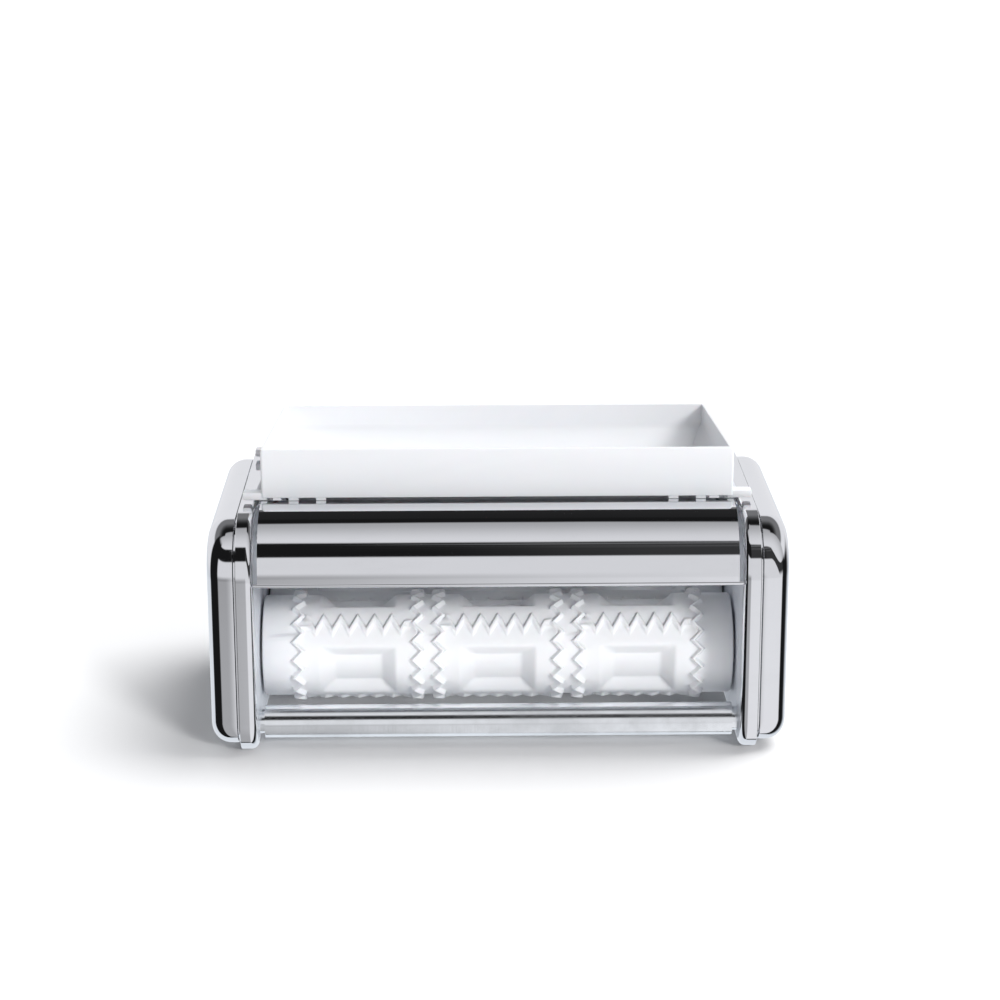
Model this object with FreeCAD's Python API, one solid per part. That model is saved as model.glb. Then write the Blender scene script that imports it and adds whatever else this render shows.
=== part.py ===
"""Ravioli attachment for a hand cranked pasta machine, as an assembly of separate parts.

Millimetres. +Z is up, the open front with the mould roller faces -Y, and the origin is on the
surface that it stands on, under the middle of its whole width and depth, hooks included.
The parts are drawn about the middle between the two rollers and moved there together at the end.
"""
import FreeCAD
import Part
import math
import os

# --- mould rollers -------------------------------------------------------------------------
MOULD_RADIUS = 18.0        # smooth surface of a roller
RIDGE_HEIGHT = 1.85        # how far the crimping ridges stand up
NIP_GAP = 0.3              # between the ridges of the two rollers
ROLLER_END_GAP = 1.0       # from a roller's end to the side plate
CELLS_ACROSS = 3
CELLS_AROUND = 3
CELL_WIDTH = 42.4          # between the two crimping rings of a cell
CELL_GAP = 7.6             # between the near rings of two cells
CELL_PHASE = 42.0          # degrees from the front up to a lengthwise ridge
RING_TEETH = 18
RING_SWING = 3.3           # side to side, peak to peak
RING_ZONE = 6.0            # length of roller that a ring takes
RIDGE_TIP = 0.8            # width of a ridge's crest
RIDGE_FOOT = 2.0           # width of a ridge where it leaves the roller
CROSS_LEG_COUNT = 14       # straight legs of a lengthwise zigzag
CROSS_SWING = 5.3
CROSS_FOOT_SHARE = 0.9     # a lengthwise ridge's foot against a ring's
CROSS_ROOT = 0.3           # how far it goes into the flat that it stands on
CROSS_LAND = 10.0          # degrees each way of the flat under a lengthwise zigzag
POCKET_LENGTH = 29.0
POCKET_FLOOR_LENGTH = 17.0
POCKET_SPREAD = 34.5       # degrees each way at the surface
POCKET_FLOOR_SPREAD = 22.8
POCKET_DEPTH = 3.0
POCKET_OVER = 1.0          # the pocket's form goes on past the roller's surface by this much
POCKET_SWEEP = 10.0        # and round it past the pocket's sides, in degrees

# --- shafts, bushes and gears --------------------------------------------------------------
SHAFT_RADIUS = 6.0
SHAFT_LEFT_END = 7.0       # how far a shaft stands out of the left side plate's inner face
DRIVE_RIGHT_END = 14.7
IDLE_RIGHT_END = 12.6
SOCKET_RADIUS = 4.1        # the crank goes in here
SOCKET_DEPTH = 12.0
SOCKET_SLOT = 2.4          # width of the cross slot that turns with the crank
SOCKET_SLOT_DEPTH = 5.0
BUSH_WALL = 2.0
BUSH_LENGTH = 4.0
BUSH_FLANGE_RADIUS = 10.0
BUSH_FLANGE = 0.6
GEAR_TEETH = 20
GEAR_WIDTH = 6.0
GEAR_START = 4.4           # from the side plate's inner face
GEAR_ADDENDUM = 0.9        # shares of the module
GEAR_DEDENDUM = 1.2
GEAR_BACKLASH = 0.3
PRESSURE_ANGLE = 20.0
KEY_WIDTH = 3.0
KEY_HEIGHT = 2.0
KEY_LENGTH = 5.0
CLIP_THICKNESS = 0.9
CLIP_RADIUS = 8.6
CLIP_DEPTH = 0.8           # depth of its groove in the shaft

# --- fits ----------------------------------------------------------------------------------
RUNNING_GAP = 0.05         # radial, shaft in bush
FIXED_GAP = 0.02           # radial, parts that stay put on each other
CLIP_GAP = 0.05

# --- side housings -------------------------------------------------------------------------
INNER_WIDTH = 170.0        # between the side plates
GROUND_GAP = 9.15          # under the rollers
HEADROOM = 36.15           # from the top of the rollers to the top of the plates
FRONT_MARGIN = 18.15       # from a roller to the front or back of the plates
PLATE_TOP_BEND = 18.0
PLATE_FOOT_BEND = 12.0
PLATE_WALL = 1.5
PLATE_RIM = 6.0            # the pressed rim stands out this far
PLATE_EDGE = 2.5
CASE_DEPTH = 13.5          # chromed side cover
CASE_LAP = 3.0             # how far it goes inside the plate's rim
CASE_WALL = 1.2
CASE_EDGE = 7.0
CASE_SEAM = 0.8
CRANK_HOLE_RADIUS = 8.0
POST_RADIUS = 3.5
POST_HIGH = 29.0           # posts above and below the roller axles
POST_LOW = 18.0

# --- front and rear covers -----------------------------------------------------------------
SHEET = 1.0
COVER_RISE = 0.3           # top of the cover over the top of the plates
COVER_SETBACK = 0.7
COVER_END_GAP = 0.6        # from each end of the cover to the side plate
COVER_BEND = 19.5
COVER_APRON = 0.8          # upright part from the bend down to the lip
BROW_SLOPE = 25.5          # degrees that the straight brow above the bend still rises
BROW_LENGTH = 7.5
BROW_BEND = 6.0            # from the brow to the level part
COVER_FLAT = 4.0           # level part
CHUTE_BEND = 8.0
CHUTE_LENGTH = 13.0
CHUTE_ANGLE = 50.0
BEAD_RADIUS = 1.3

# --- tie rods and fasteners ----------------------------------------------------------------
ROD_RADIUS = 5.8
ROD_SETBACK = 13.0         # lower rods, from the front or back of the plates
ROD_HEIGHT = 9.1
ROD_NECK_RADIUS = 4.2
ROD_NECK = 2.2
HIGH_ROD_RADIUS = 4.0
HIGH_ROD_NECK_RADIUS = 3.0
HIGH_ROD_SETBACK = 22.0
HIGH_ROD_DROP = 11.0       # under the top of the plates
SCREW_RADIUS = 2.0
SCREW_HEAD_RADIUS = 3.4
SCREW_HEAD = 1.4
SCREW_GRIP = 10.0          # thread in a rod
TAPPING_RADIUS = 1.4
TAPPING_GRIP = 8.0
SCREW_GAP = 0.05
SCREW_SLOT = 0.8
HOLE_SPARE = 1.0           # a blind hole is this much deeper than its screw

# --- hooks that slide on the pasta machine -------------------------------------------------
HOOK_THICKNESS = 2.5
HOOK_START = 12.0          # inside the back of the plates
HOOK_REACH = 14.0          # behind the plates
HOOK_FOOT = 24.0
HOOK_HEIGHT = 36.0
HOOK_SLOT = 4.6
HOOK_SLOT_SETBACK = 4.0    # from the back of the plates
HOOK_SLOT_HEIGHT = 22.0
HOOK_CORNER = 4.0
RIVET_RADIUS = 2.0
RIVET_HEAD_RADIUS = 3.4
RIVET_HEAD = 1.1
RIVET_EDGE = 5.0

# --- hopper --------------------------------------------------------------------------------
DOUGH_GAP = 2.3            # under the apron, where a sheet of dough lies
APRON_HEIGHT = 17.6
RIM_DEPTH = 9.9            # upright part of the mouth
HOPPER_END_GAP = 1.6       # from the front of the rim to the line of the side plates
HOPPER_TAPER = 4.1         # each end of the rim draws in this much towards the back
HOPPER_FRONT = 30.0
HOPPER_BACK = 35.0
HOPPER_WALL = 1.8
FUNNEL_DEPTH = 24.0
FUNNEL_RUN = 19.4          # from an end of the rim in to the throat
SLOT_HALF_WIDTH = 3.2
THROAT_OUTER = 4.4         # half width of the throat's foot
THROAT_FOOT = 15.0         # over the roller axles
RIB_WIDTH = 3.5
RIB_INSET = 11.4           # from an end of the rim to the middle of the outer rib
RIB_STEP = 9.7             # between the two ribs at one end
RIB_DEPTH = 6.0
SEAT_GAP = 0.1             # hopper over the covers
LUG_OUT = 5.0              # over the side plate
LUG_HEIGHT = 2.8
LUG_LENGTH = 5.0
LUG_SETBACK = 4.0
LEG_WIDTH = 16.0
LEG_THICKNESS = 2.4
LEG_GAP = 0.4
LEG_DROP = 21.0            # under the top of the plates

# --- sizes that follow ---------------------------------------------------------------------
RIDGE_RADIUS = MOULD_RADIUS + RIDGE_HEIGHT
ROLLER_Y = RIDGE_RADIUS + NIP_GAP / 2
AXLE_Z = GROUND_GAP + RIDGE_RADIUS
HALF_DEPTH = ROLLER_Y + RIDGE_RADIUS + FRONT_MARGIN
PLATE_TOP = AXLE_Z + RIDGE_RADIUS + HEADROOM
PLATE_X = INNER_WIDTH / 2
CASE_X = PLATE_X + PLATE_RIM - CASE_LAP
CASE_INSET = PLATE_WALL + CASE_SEAM
CASE_FACE = CASE_X + CASE_DEPTH
ROLLER_HALF = PLATE_X - ROLLER_END_GAP
ROD_Y = HALF_DEPTH - ROD_SETBACK
HIGH_ROD_Y = HALF_DEPTH - HIGH_ROD_SETBACK
HIGH_ROD_Z = PLATE_TOP - HIGH_ROD_DROP
WEB_X = PLATE_X + PLATE_WALL
CELL_PITCH = CELL_WIDTH + CELL_GAP
HOPPER_FRONT_HALF = PLATE_X - HOPPER_END_GAP
HOPPER_BACK_HALF = HOPPER_FRONT_HALF - HOPPER_TAPER
SLOT_HALF_LENGTH = HOPPER_FRONT_HALF - FUNNEL_RUN

X_AXIS = FreeCAD.Vector(1, 0, 0)
Y_AXIS = FreeCAD.Vector(0, 1, 0)


def point(x, y, z):
    return FreeCAD.Vector(x, y, z)


def rod(x0, x1, y, z, radius):
    """A cylinder along X from x0 to x1."""
    return Part.makeCylinder(radius, x1 - x0, point(x0, y, z), X_AXIS)


def block(x0, x1, y0, y1, z0, z1):
    return Part.makeBox(x1 - x0, y1 - y0, z1 - z0, point(x0, y0, z0))


def face_of(points):
    return Part.Face(Part.makePolygon(points + points[:1]))


def solid_of(faces):
    """The closed solid that a list of faces bounds."""
    shell = Part.makeShell(faces)
    shell.sewShape()
    solid = Part.Solid(shell)
    if solid.Volume < 0:
        solid.reverse()
    return solid


def mirrored_x(shape):
    return shape.mirror(point(0, 0, 0), X_AXIS)


def mirrored_y(shape):
    return shape.mirror(point(0, 0, 0), Y_AXIS)


# --- side housings -------------------------------------------------------------------------

def housing_outline(x, inset):
    """Side view of a housing, drawn in by inset: large bends on top, smaller ones at the feet."""
    y = HALF_DEPTH - inset
    top = PLATE_TOP - inset
    high = max(PLATE_TOP_BEND - inset, 0.5)
    low = max(PLATE_FOOT_BEND - inset, 0.5)
    corners = ((-y, inset, low), (y, inset, low), (y, top, high), (-y, top, high))
    signs = ((1, 1), (-1, 1), (-1, -1), (1, -1))
    edges = []
    last = None
    first = None
    for index, ((cy, cz, r), (sy, sz)) in enumerate(zip(corners, signs)):
        along_y = point(x, cy + sy * r, cz)
        along_z = point(x, cy, cz + sz * r)
        middle = point(x, cy + sy * r * (1 - math.sqrt(0.5)), cz + sz * r * (1 - math.sqrt(0.5)))
        start, end = (along_z, along_y) if index % 2 == 0 else (along_y, along_z)
        if last is not None:
            edges.append(Part.makeLine(last, start))
        else:
            first = start
        edges.append(Part.Arc(start, middle, end).toShape())
        last = end
    edges.append(Part.makeLine(last, first))
    return Part.Face(Part.Wire(edges))


def pressed_box(x0, x1, inset, rounded_x, radius):
    """A housing outline run from x0 to x1, with its edge at rounded_x rounded."""
    box = housing_outline(x0, inset).extrude(point(x1 - x0, 0, 0))
    edges = [e for e in box.Edges if all(abs(v.X - rounded_x) < 1e-6 for v in e.Vertexes)]
    return box.makeFillet(radius, edges)


def side_plate():
    """Right side plate: a web with a rim pressed outward all round."""
    outer = pressed_box(PLATE_X, PLATE_X + PLATE_RIM, 0, PLATE_X, PLATE_EDGE)
    inner = pressed_box(WEB_X, PLATE_X + PLATE_RIM, PLATE_WALL, WEB_X, PLATE_EDGE - PLATE_WALL)
    plate = outer.cut(inner)
    holes = []
    for y in (-ROLLER_Y, ROLLER_Y):
        holes.append(rod(PLATE_X, WEB_X, y, AXLE_Z, SHAFT_RADIUS + RUNNING_GAP + BUSH_WALL))
    for y, z in rod_places():
        holes.append(rod(PLATE_X, WEB_X, y, z, SCREW_RADIUS + SCREW_GAP))
    for z in post_heights():
        holes.append(rod(PLATE_X, WEB_X, 0, z, TAPPING_RADIUS + SCREW_GAP))
    for z in rivet_heights():
        holes.append(rod(PLATE_X, WEB_X, rivet_y(), z, RIVET_RADIUS + FIXED_GAP))
    return plate.cut(holes)


def side_case():
    """Right side cover without the crank hole: a deep shell that laps inside the plate's rim."""
    outer = pressed_box(CASE_X, CASE_FACE, CASE_INSET, CASE_FACE, CASE_EDGE)
    inside = CASE_FACE - CASE_WALL
    hollow = pressed_box(CASE_X, inside, CASE_INSET + CASE_WALL, inside, CASE_EDGE - CASE_WALL)
    case = outer.cut(hollow)
    for z in post_heights():
        foot = rod(WEB_X, CASE_X, 0, z, POST_RADIUS)
        post = rod(CASE_X, CASE_FACE, 0, z, POST_RADIUS).common(hollow)
        case = case.fuse([foot, post])
        case = case.cut(rod(WEB_X, WEB_X + TAPPING_GRIP + HOLE_SPARE, 0, z, TAPPING_RADIUS + SCREW_GAP))
    return case.removeSplitter()


def post_heights():
    return (AXLE_Z - POST_LOW, AXLE_Z + POST_HIGH)


def rod_places():
    """Where the four tie rods meet a side plate, in the side view."""
    return ((-ROD_Y, ROD_HEIGHT), (ROD_Y, ROD_HEIGHT), (-HIGH_ROD_Y, HIGH_ROD_Z), (HIGH_ROD_Y, HIGH_ROD_Z))


# --- front and rear covers -----------------------------------------------------------------

def bent_path(y, z, heading, runs):
    """Straight runs and bends in the side view, from a point and a heading in degrees above level.
    A run is a length, and a bend is a radius with the degrees that it turns down."""
    edges = []
    for run in runs:
        start = point(0, y, z)
        angle = math.radians(heading)
        if isinstance(run, tuple):
            radius, turn = run
            centre_y = y + radius * math.sin(angle)
            centre_z = z - radius * math.cos(angle)
            on_arc = []
            for part in (0.5, 1.0):
                angle = math.radians(heading - part * turn)
                on_arc.append(point(0, centre_y - radius * math.sin(angle), centre_z + radius * math.cos(angle)))
            edges.append(Part.Arc(start, on_arc[0], on_arc[1]).toShape())
            heading -= turn
            y, z = on_arc[1].y, on_arc[1].z
        else:
            y += run * math.cos(angle)
            z += run * math.sin(angle)
            edges.append(Part.makeLine(start, point(0, y, z)))
    return Part.Wire(edges)


def front_cover():
    """Sheet bent from a beaded lip over a brow to the level top, and down into the dough chute."""
    front = -HALF_DEPTH + COVER_SETBACK
    top = PLATE_TOP + COVER_RISE
    slope = math.radians(BROW_SLOPE)
    rise = COVER_APRON + COVER_BEND * math.cos(slope) + BROW_LENGTH * math.sin(slope)
    lip = top - rise - BROW_BEND * (1 - math.cos(slope))
    path = bent_path(front, lip, 90,
                     [COVER_APRON, (COVER_BEND, 90 - BROW_SLOPE), BROW_LENGTH, (BROW_BEND, BROW_SLOPE),
                      COVER_FLAT, (CHUTE_BEND, CHUTE_ANGLE), CHUTE_LENGTH])
    section = path.makeOffset2D(-SHEET, 0, True, True)
    if section.BoundBox.ZMax > top + SHEET / 2:
        section = path.makeOffset2D(SHEET, 0, True, True)
    half = PLATE_X - COVER_END_GAP
    sheet = section.extrude(point(2 * half, 0, 0))
    sheet.translate(point(-half, 0, 0))
    bead = rod(-half, half, front + BEAD_RADIUS, lip, BEAD_RADIUS)
    return sheet.fuse(bead).removeSplitter()


# --- tie rods and fasteners ----------------------------------------------------------------

def tie_rod(y, z, radius, neck_radius, neck):
    """A round bar between the side plates, turned down at its ends and tapped."""
    bar = rod(-PLATE_X + neck, PLATE_X - neck, y, z, radius)
    bar = bar.fuse(rod(-PLATE_X, PLATE_X, y, z, neck_radius)).removeSplitter()
    depth = SCREW_GRIP + HOLE_SPARE
    for x0 in (-PLATE_X, PLATE_X - depth):
        bar = bar.cut(rod(x0, x0 + depth, y, z, SCREW_RADIUS + SCREW_GAP))
    return bar


def screw(seat_x, outward, y, z, radius, grip):
    """A pan head screw along X whose head stands outward from seat_x."""
    head = rod(0, SCREW_HEAD, 0, 0, SCREW_HEAD_RADIUS)
    rim = [e for e in head.Edges if all(abs(v.X - SCREW_HEAD) < 1e-6 for v in e.Vertexes)]
    head = head.makeFillet(SCREW_HEAD / 2, rim)
    shank = rod(-grip, 0, 0, 0, radius)
    slot = block(SCREW_HEAD / 2, SCREW_HEAD, -SCREW_HEAD_RADIUS, SCREW_HEAD_RADIUS,
                 -SCREW_SLOT / 2, SCREW_SLOT / 2)
    whole = head.fuse(shank).cut(slot)
    if outward < 0:
        whole = mirrored_x(whole)
    whole.translate(point(seat_x, y, z))
    return whole


def tie_rod_screws():
    right = [screw(WEB_X, 1, y, z, SCREW_RADIUS, PLATE_WALL + SCREW_GRIP) for y, z in rod_places()]
    return Part.Compound(right + [mirrored_x(s) for s in right])


def case_screws():
    """From inside the frame, through the plate and into the posts of the side covers."""
    grip = PLATE_WALL + TAPPING_GRIP
    right = [screw(PLATE_X, -1, 0, z, TAPPING_RADIUS, grip) for z in post_heights()]
    return Part.Compound(right + [mirrored_x(s) for s in right])


# --- hooks for the pasta machine -----------------------------------------------------------

def rivet_y():
    return HALF_DEPTH - HOOK_START + RIVET_EDGE


def rivet_heights():
    return (HOOK_FOOT + RIVET_EDGE, HOOK_FOOT + HOOK_HEIGHT - RIVET_EDGE)


def machine_hook():
    """Right hook: a flat bracket behind the plate with a slot that drops over a rail."""
    y0 = HALF_DEPTH - HOOK_START
    y1 = HALF_DEPTH + HOOK_REACH
    hook = block(PLATE_X - HOOK_THICKNESS, PLATE_X, y0, y1, HOOK_FOOT, HOOK_FOOT + HOOK_HEIGHT)
    corners = [e for e in hook.Edges if abs(e.Vertexes[0].X - e.Vertexes[-1].X) > 1e-6]
    hook = hook.makeFillet(HOOK_CORNER, corners)
    slot_y = HALF_DEPTH + HOOK_SLOT_SETBACK
    half = HOOK_SLOT / 2
    slot = block(PLATE_X - HOOK_THICKNESS, PLATE_X, slot_y, slot_y + HOOK_SLOT,
                 HOOK_FOOT, HOOK_FOOT + HOOK_SLOT_HEIGHT - half)
    crown = rod(PLATE_X - HOOK_THICKNESS, PLATE_X, slot_y + half,
                HOOK_FOOT + HOOK_SLOT_HEIGHT - half, half)
    holes = [rod(PLATE_X - HOOK_THICKNESS, PLATE_X, rivet_y(), z, RIVET_RADIUS + FIXED_GAP)
             for z in rivet_heights()]
    return hook.cut([slot, crown] + holes)


def hook_rivets():
    right = []
    for z in rivet_heights():
        start = PLATE_X - HOOK_THICKNESS
        rivet = rod(start - RIVET_HEAD, start, rivet_y(), z, RIVET_HEAD_RADIUS)
        rivet = rivet.fuse(rod(start, WEB_X, rivet_y(), z, RIVET_RADIUS))
        rivet = rivet.fuse(rod(WEB_X, WEB_X + RIVET_HEAD, rivet_y(), z, RIVET_HEAD_RADIUS))
        right.append(rivet)
    return Part.Compound(right + [mirrored_x(r) for r in right])


# --- shafts, bushes and gears --------------------------------------------------------------

def bush(y):
    """Right hand bush of a shaft, its flange between the plate and the roller."""
    bore = SHAFT_RADIUS + RUNNING_GAP
    sleeve = rod(PLATE_X, PLATE_X + BUSH_LENGTH, y, AXLE_Z, bore + BUSH_WALL - FIXED_GAP)
    flange = rod(PLATE_X - BUSH_FLANGE, PLATE_X, y, AXLE_Z, BUSH_FLANGE_RADIUS)
    hole = rod(PLATE_X - BUSH_FLANGE, PLATE_X + BUSH_LENGTH, y, AXLE_Z, bore)
    return sleeve.fuse(flange).cut(hole)


def clip_starts():
    """Left faces of a shaft's two clip grooves: outside the left bush and outside the gear."""
    left = -PLATE_X - BUSH_LENGTH - CLIP_THICKNESS - 2 * CLIP_GAP
    return (left, PLATE_X + GEAR_START + GEAR_WIDTH)


def shaft(y, right_end, keyway_y):
    """A shaft with two clip grooves and the keyway of its gear."""
    bar = rod(-PLATE_X - SHAFT_LEFT_END, PLATE_X + right_end, y, AXLE_Z, SHAFT_RADIUS)
    for x in clip_starts():
        ring = rod(x, x + CLIP_THICKNESS + 2 * CLIP_GAP, y, AXLE_Z, SHAFT_RADIUS)
        ring = ring.cut(rod(x, x + CLIP_THICKNESS + 2 * CLIP_GAP, y, AXLE_Z, SHAFT_RADIUS - CLIP_DEPTH))
        bar = bar.cut(ring)
    return bar.cut(key(keyway_y, 0))


def drive_shaft():
    """The front shaft, whose right end is the socket that the crank fits."""
    bar = shaft(-ROLLER_Y, DRIVE_RIGHT_END, -ROLLER_Y)
    end = PLATE_X + DRIVE_RIGHT_END
    socket = rod(end - SOCKET_DEPTH, end, -ROLLER_Y, AXLE_Z, SOCKET_RADIUS)
    slot = block(end - SOCKET_SLOT_DEPTH, end, -ROLLER_Y - SHAFT_RADIUS, -ROLLER_Y + SHAFT_RADIUS,
                 AXLE_Z - SOCKET_SLOT / 2, AXLE_Z + SOCKET_SLOT / 2)
    return bar.cut([socket, slot])


def key(y, gap):
    """The key of a gear, half in the shaft and half in the gear, smaller all round by gap."""
    half = KEY_WIDTH / 2 - gap
    start = PLATE_X + GEAR_START + (GEAR_WIDTH - KEY_LENGTH) / 2
    middle = AXLE_Z + SHAFT_RADIUS
    return block(start + gap, start + KEY_LENGTH - gap, y - half, y + half,
                 middle - KEY_HEIGHT / 2 + gap, middle + KEY_HEIGHT / 2 - gap)


def clips(y):
    """Spring rings in a shaft's two grooves, each open at the foot."""
    made = []
    for x in clip_starts():
        ring = rod(x + CLIP_GAP, x + CLIP_GAP + CLIP_THICKNESS, y, AXLE_Z, CLIP_RADIUS)
        bore = rod(x, x + 2 * CLIP_THICKNESS, y, AXLE_Z, SHAFT_RADIUS - CLIP_DEPTH + FIXED_GAP)
        mouth = block(x, x + 2 * CLIP_THICKNESS, y - SHAFT_RADIUS / 2, y + SHAFT_RADIUS / 2,
                      AXLE_Z - 2 * CLIP_RADIUS, AXLE_Z)
        made.append(ring.cut([bore, mouth]))
    return Part.Compound(made)


def involute(angle):
    return math.tan(angle) - angle


def gear(y, phase):
    """Spur gear with involute flanks. A phase of half a pitch turns a gap to where a tooth was."""
    pitch_radius = ROLLER_Y
    module = 2 * pitch_radius / GEAR_TEETH
    tip = pitch_radius + GEAR_ADDENDUM * module
    root = pitch_radius - GEAR_DEDENDUM * module
    pressure = math.radians(PRESSURE_ANGLE)
    base = pitch_radius * math.cos(pressure)
    at_pitch = math.pi / (2 * GEAR_TEETH) - GEAR_BACKLASH / (2 * pitch_radius) / 2

    def half_angle(radius):
        return at_pitch + involute(pressure) - involute(math.acos(min(1, base / radius)))

    def rim(radius, angle):
        return point(0, radius * math.cos(angle), radius * math.sin(angle))

    step = 2 * math.pi / GEAR_TEETH
    mid = (base + tip) / 2
    edges = []
    for tooth in range(GEAR_TEETH):
        a = tooth * step + phase * step
        wide, middle, narrow = half_angle(base), half_angle(mid), half_angle(tip)
        foot_up, foot_down = rim(root, a - wide), rim(root, a + wide)
        edges.append(Part.makeLine(foot_up, rim(base, a - wide)))
        edges.append(Part.Arc(rim(base, a - wide), rim(mid, a - middle), rim(tip, a - narrow)).toShape())
        edges.append(Part.Arc(rim(tip, a - narrow), rim(tip, a), rim(tip, a + narrow)).toShape())
        edges.append(Part.Arc(rim(tip, a + narrow), rim(mid, a + middle), rim(base, a + wide)).toShape())
        edges.append(Part.makeLine(rim(base, a + wide), foot_down))
        edges.append(Part.Arc(foot_down, rim(root, a + step / 2), rim(root, a + step - wide)).toShape())
    blank = Part.Face(Part.Wire(edges)).extrude(point(GEAR_WIDTH, 0, 0))
    blank.translate(point(PLATE_X + GEAR_START, y, AXLE_Z))
    bore = rod(PLATE_X, PLATE_X + GEAR_START + GEAR_WIDTH, y, AXLE_Z, SHAFT_RADIUS + FIXED_GAP)
    return blank.cut([bore, key(y, 0)])


# --- mould rollers -------------------------------------------------------------------------

def rim_point(x, radius, degrees):
    """A point on a roller about the X axis: 0 degrees faces the front, 90 faces up."""
    turn = math.radians(degrees)
    return point(x, -radius * math.cos(turn), radius * math.sin(turn))


def crimping_ring(x):
    """A stretch of roller that carries one zigzag ridge all round."""
    stations = []
    for index in range(2 * RING_TEETH):
        middle = x + (0.5 if index % 2 else -0.5) * RING_SWING
        degrees = CELL_PHASE + 180.0 * index / RING_TEETH
        stations.append([rim_point(x - RING_ZONE / 2, MOULD_RADIUS, degrees),
                         rim_point(middle - RIDGE_FOOT / 2, MOULD_RADIUS, degrees),
                         rim_point(middle - RIDGE_TIP / 2, RIDGE_RADIUS, degrees),
                         rim_point(middle + RIDGE_TIP / 2, RIDGE_RADIUS, degrees),
                         rim_point(middle + RIDGE_FOOT / 2, MOULD_RADIUS, degrees),
                         rim_point(x + RING_ZONE / 2, MOULD_RADIUS, degrees)])
    faces = [face_of([s[0] for s in stations]), face_of([s[-1] for s in stations])]
    for here, there in zip(stations, stations[1:] + stations[:1]):
        for side in range(5):
            a, b, c, d = here[side], here[side + 1], there[side + 1], there[side]
            if side in (1, 3):
                faces += [face_of([a, b, c]), face_of([a, c, d])]
            else:
                faces.append(face_of([a, b, c, d]))
    return solid_of(faces)


def zigzag_outline(x0, x1, spread, height):
    """Outline of a lengthwise zigzag ridge at a height over the axle, spread wide either side."""
    low, high = [], []
    for index in range(CROSS_LEG_COUNT + 1):
        x = x0 + (x1 - x0) * index / CROSS_LEG_COUNT
        side = (0.5 if index % 2 else -0.5) * CROSS_SWING
        low.append(point(x, side - spread, height))
        high.append(point(x, side + spread, height))
    return Part.makePolygon(low + high[::-1] + low[:1])


def cross_ridge(x0, x1):
    """A lengthwise zigzag ridge, drawn on top of the roller."""
    slant = math.atan(CROSS_SWING / ((x1 - x0) / CROSS_LEG_COUNT))
    tip_spread = RIDGE_TIP / 2 / math.cos(slant)
    foot_spread = RIDGE_FOOT / 2 / math.cos(slant) * CROSS_FOOT_SHARE
    crest = math.sqrt(RIDGE_RADIUS ** 2 - (CROSS_SWING / 2 + tip_spread) ** 2)
    foot = land_height() - CROSS_ROOT
    return Part.makeLoft([zigzag_outline(x0, x1, foot_spread, foot),
                          zigzag_outline(x0, x1, tip_spread, crest)], True, True)


def land_height():
    return MOULD_RADIUS * math.cos(math.radians(CROSS_LAND))


def pocket(x):
    """The hollow that shapes one raviolo, drawn on top of the roller: a floor round the axle,
    sloping ends and sloping sides."""
    floor = MOULD_RADIUS - POCKET_DEPTH
    slope = (POCKET_LENGTH - POCKET_FLOOR_LENGTH) / 2 / POCKET_DEPTH
    wide = POCKET_LENGTH / 2 + POCKET_OVER * slope
    narrow = POCKET_FLOOR_LENGTH / 2
    mouth = MOULD_RADIUS + POCKET_OVER
    profile = face_of([point(x - narrow, 0, floor), point(x + narrow, 0, floor),
                       point(x + wide, 0, mouth), point(x - wide, 0, mouth)])
    turned = profile.revolve(point(0, 0, 0), X_AXIS, 2 * (POCKET_SPREAD + POCKET_SWEEP))
    turned.rotate(point(0, 0, 0), X_AXIS, -POCKET_SPREAD - POCKET_SWEEP)
    outer, inner = math.radians(POCKET_SPREAD), math.radians(POCKET_FLOOR_SPREAD)
    y1, z1 = MOULD_RADIUS * math.sin(outer), MOULD_RADIUS * math.cos(outer)
    y0, z0 = floor * math.sin(inner), floor * math.cos(inner)
    rise = (z1 - z0) / (y1 - y0)
    reach = 2 * y1
    apex = z1 - rise * y1
    wedge = face_of([point(x - wide, 0, apex), point(x - wide, reach, apex + rise * reach),
                     point(x - wide, reach, 2 * MOULD_RADIUS), point(x - wide, -reach, 2 * MOULD_RADIUS),
                     point(x - wide, -reach, apex + rise * reach)])
    return turned.common(wedge.extrude(point(2 * wide, 0, 0)))


def mould_roller():
    """The front roller about its own axle. The rear one is its mirror image."""
    centres = [(i - (CELLS_ACROSS - 1) / 2) * CELL_PITCH for i in range(CELLS_ACROSS)]
    rings = sorted(c + side * CELL_WIDTH / 2 for c in centres for side in (-1, 1))
    starts = [-ROLLER_HALF] + [x + RING_ZONE / 2 for x in rings]
    ends = [x - RING_ZONE / 2 for x in rings] + [ROLLER_HALF]
    pieces = [crimping_ring(x) for x in rings]
    pieces += [rod(a, b, 0, 0, MOULD_RADIUS) for a, b in zip(starts, ends)]
    body = pieces[0].fuse(pieces[1:])
    hollows, ridges = [], []
    land = land_height()
    for x in centres:
        for turn in range(CELLS_AROUND):
            step = 360.0 / CELLS_AROUND
            to_ridge = 90 - CELL_PHASE + turn * step
            half = CELL_WIDTH / 2 - RING_ZONE / 2
            flat = block(x - half, x + half, -MOULD_RADIUS, MOULD_RADIUS, land, 2 * MOULD_RADIUS)
            ridge = cross_ridge(x - CELL_WIDTH / 2, x + CELL_WIDTH / 2)
            hollow = pocket(x)
            for shape, degrees in ((flat, to_ridge), (ridge, to_ridge), (hollow, to_ridge + step / 2)):
                shape.rotate(point(0, 0, 0), X_AXIS, degrees)
            hollows += [flat, hollow]
            ridges.append(ridge)
    body = body.cut(hollows).fuse(ridges)
    return body.cut(rod(-ROLLER_HALF, ROLLER_HALF, 0, 0, SHAFT_RADIUS + FIXED_GAP))


# --- hopper --------------------------------------------------------------------------------

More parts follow.
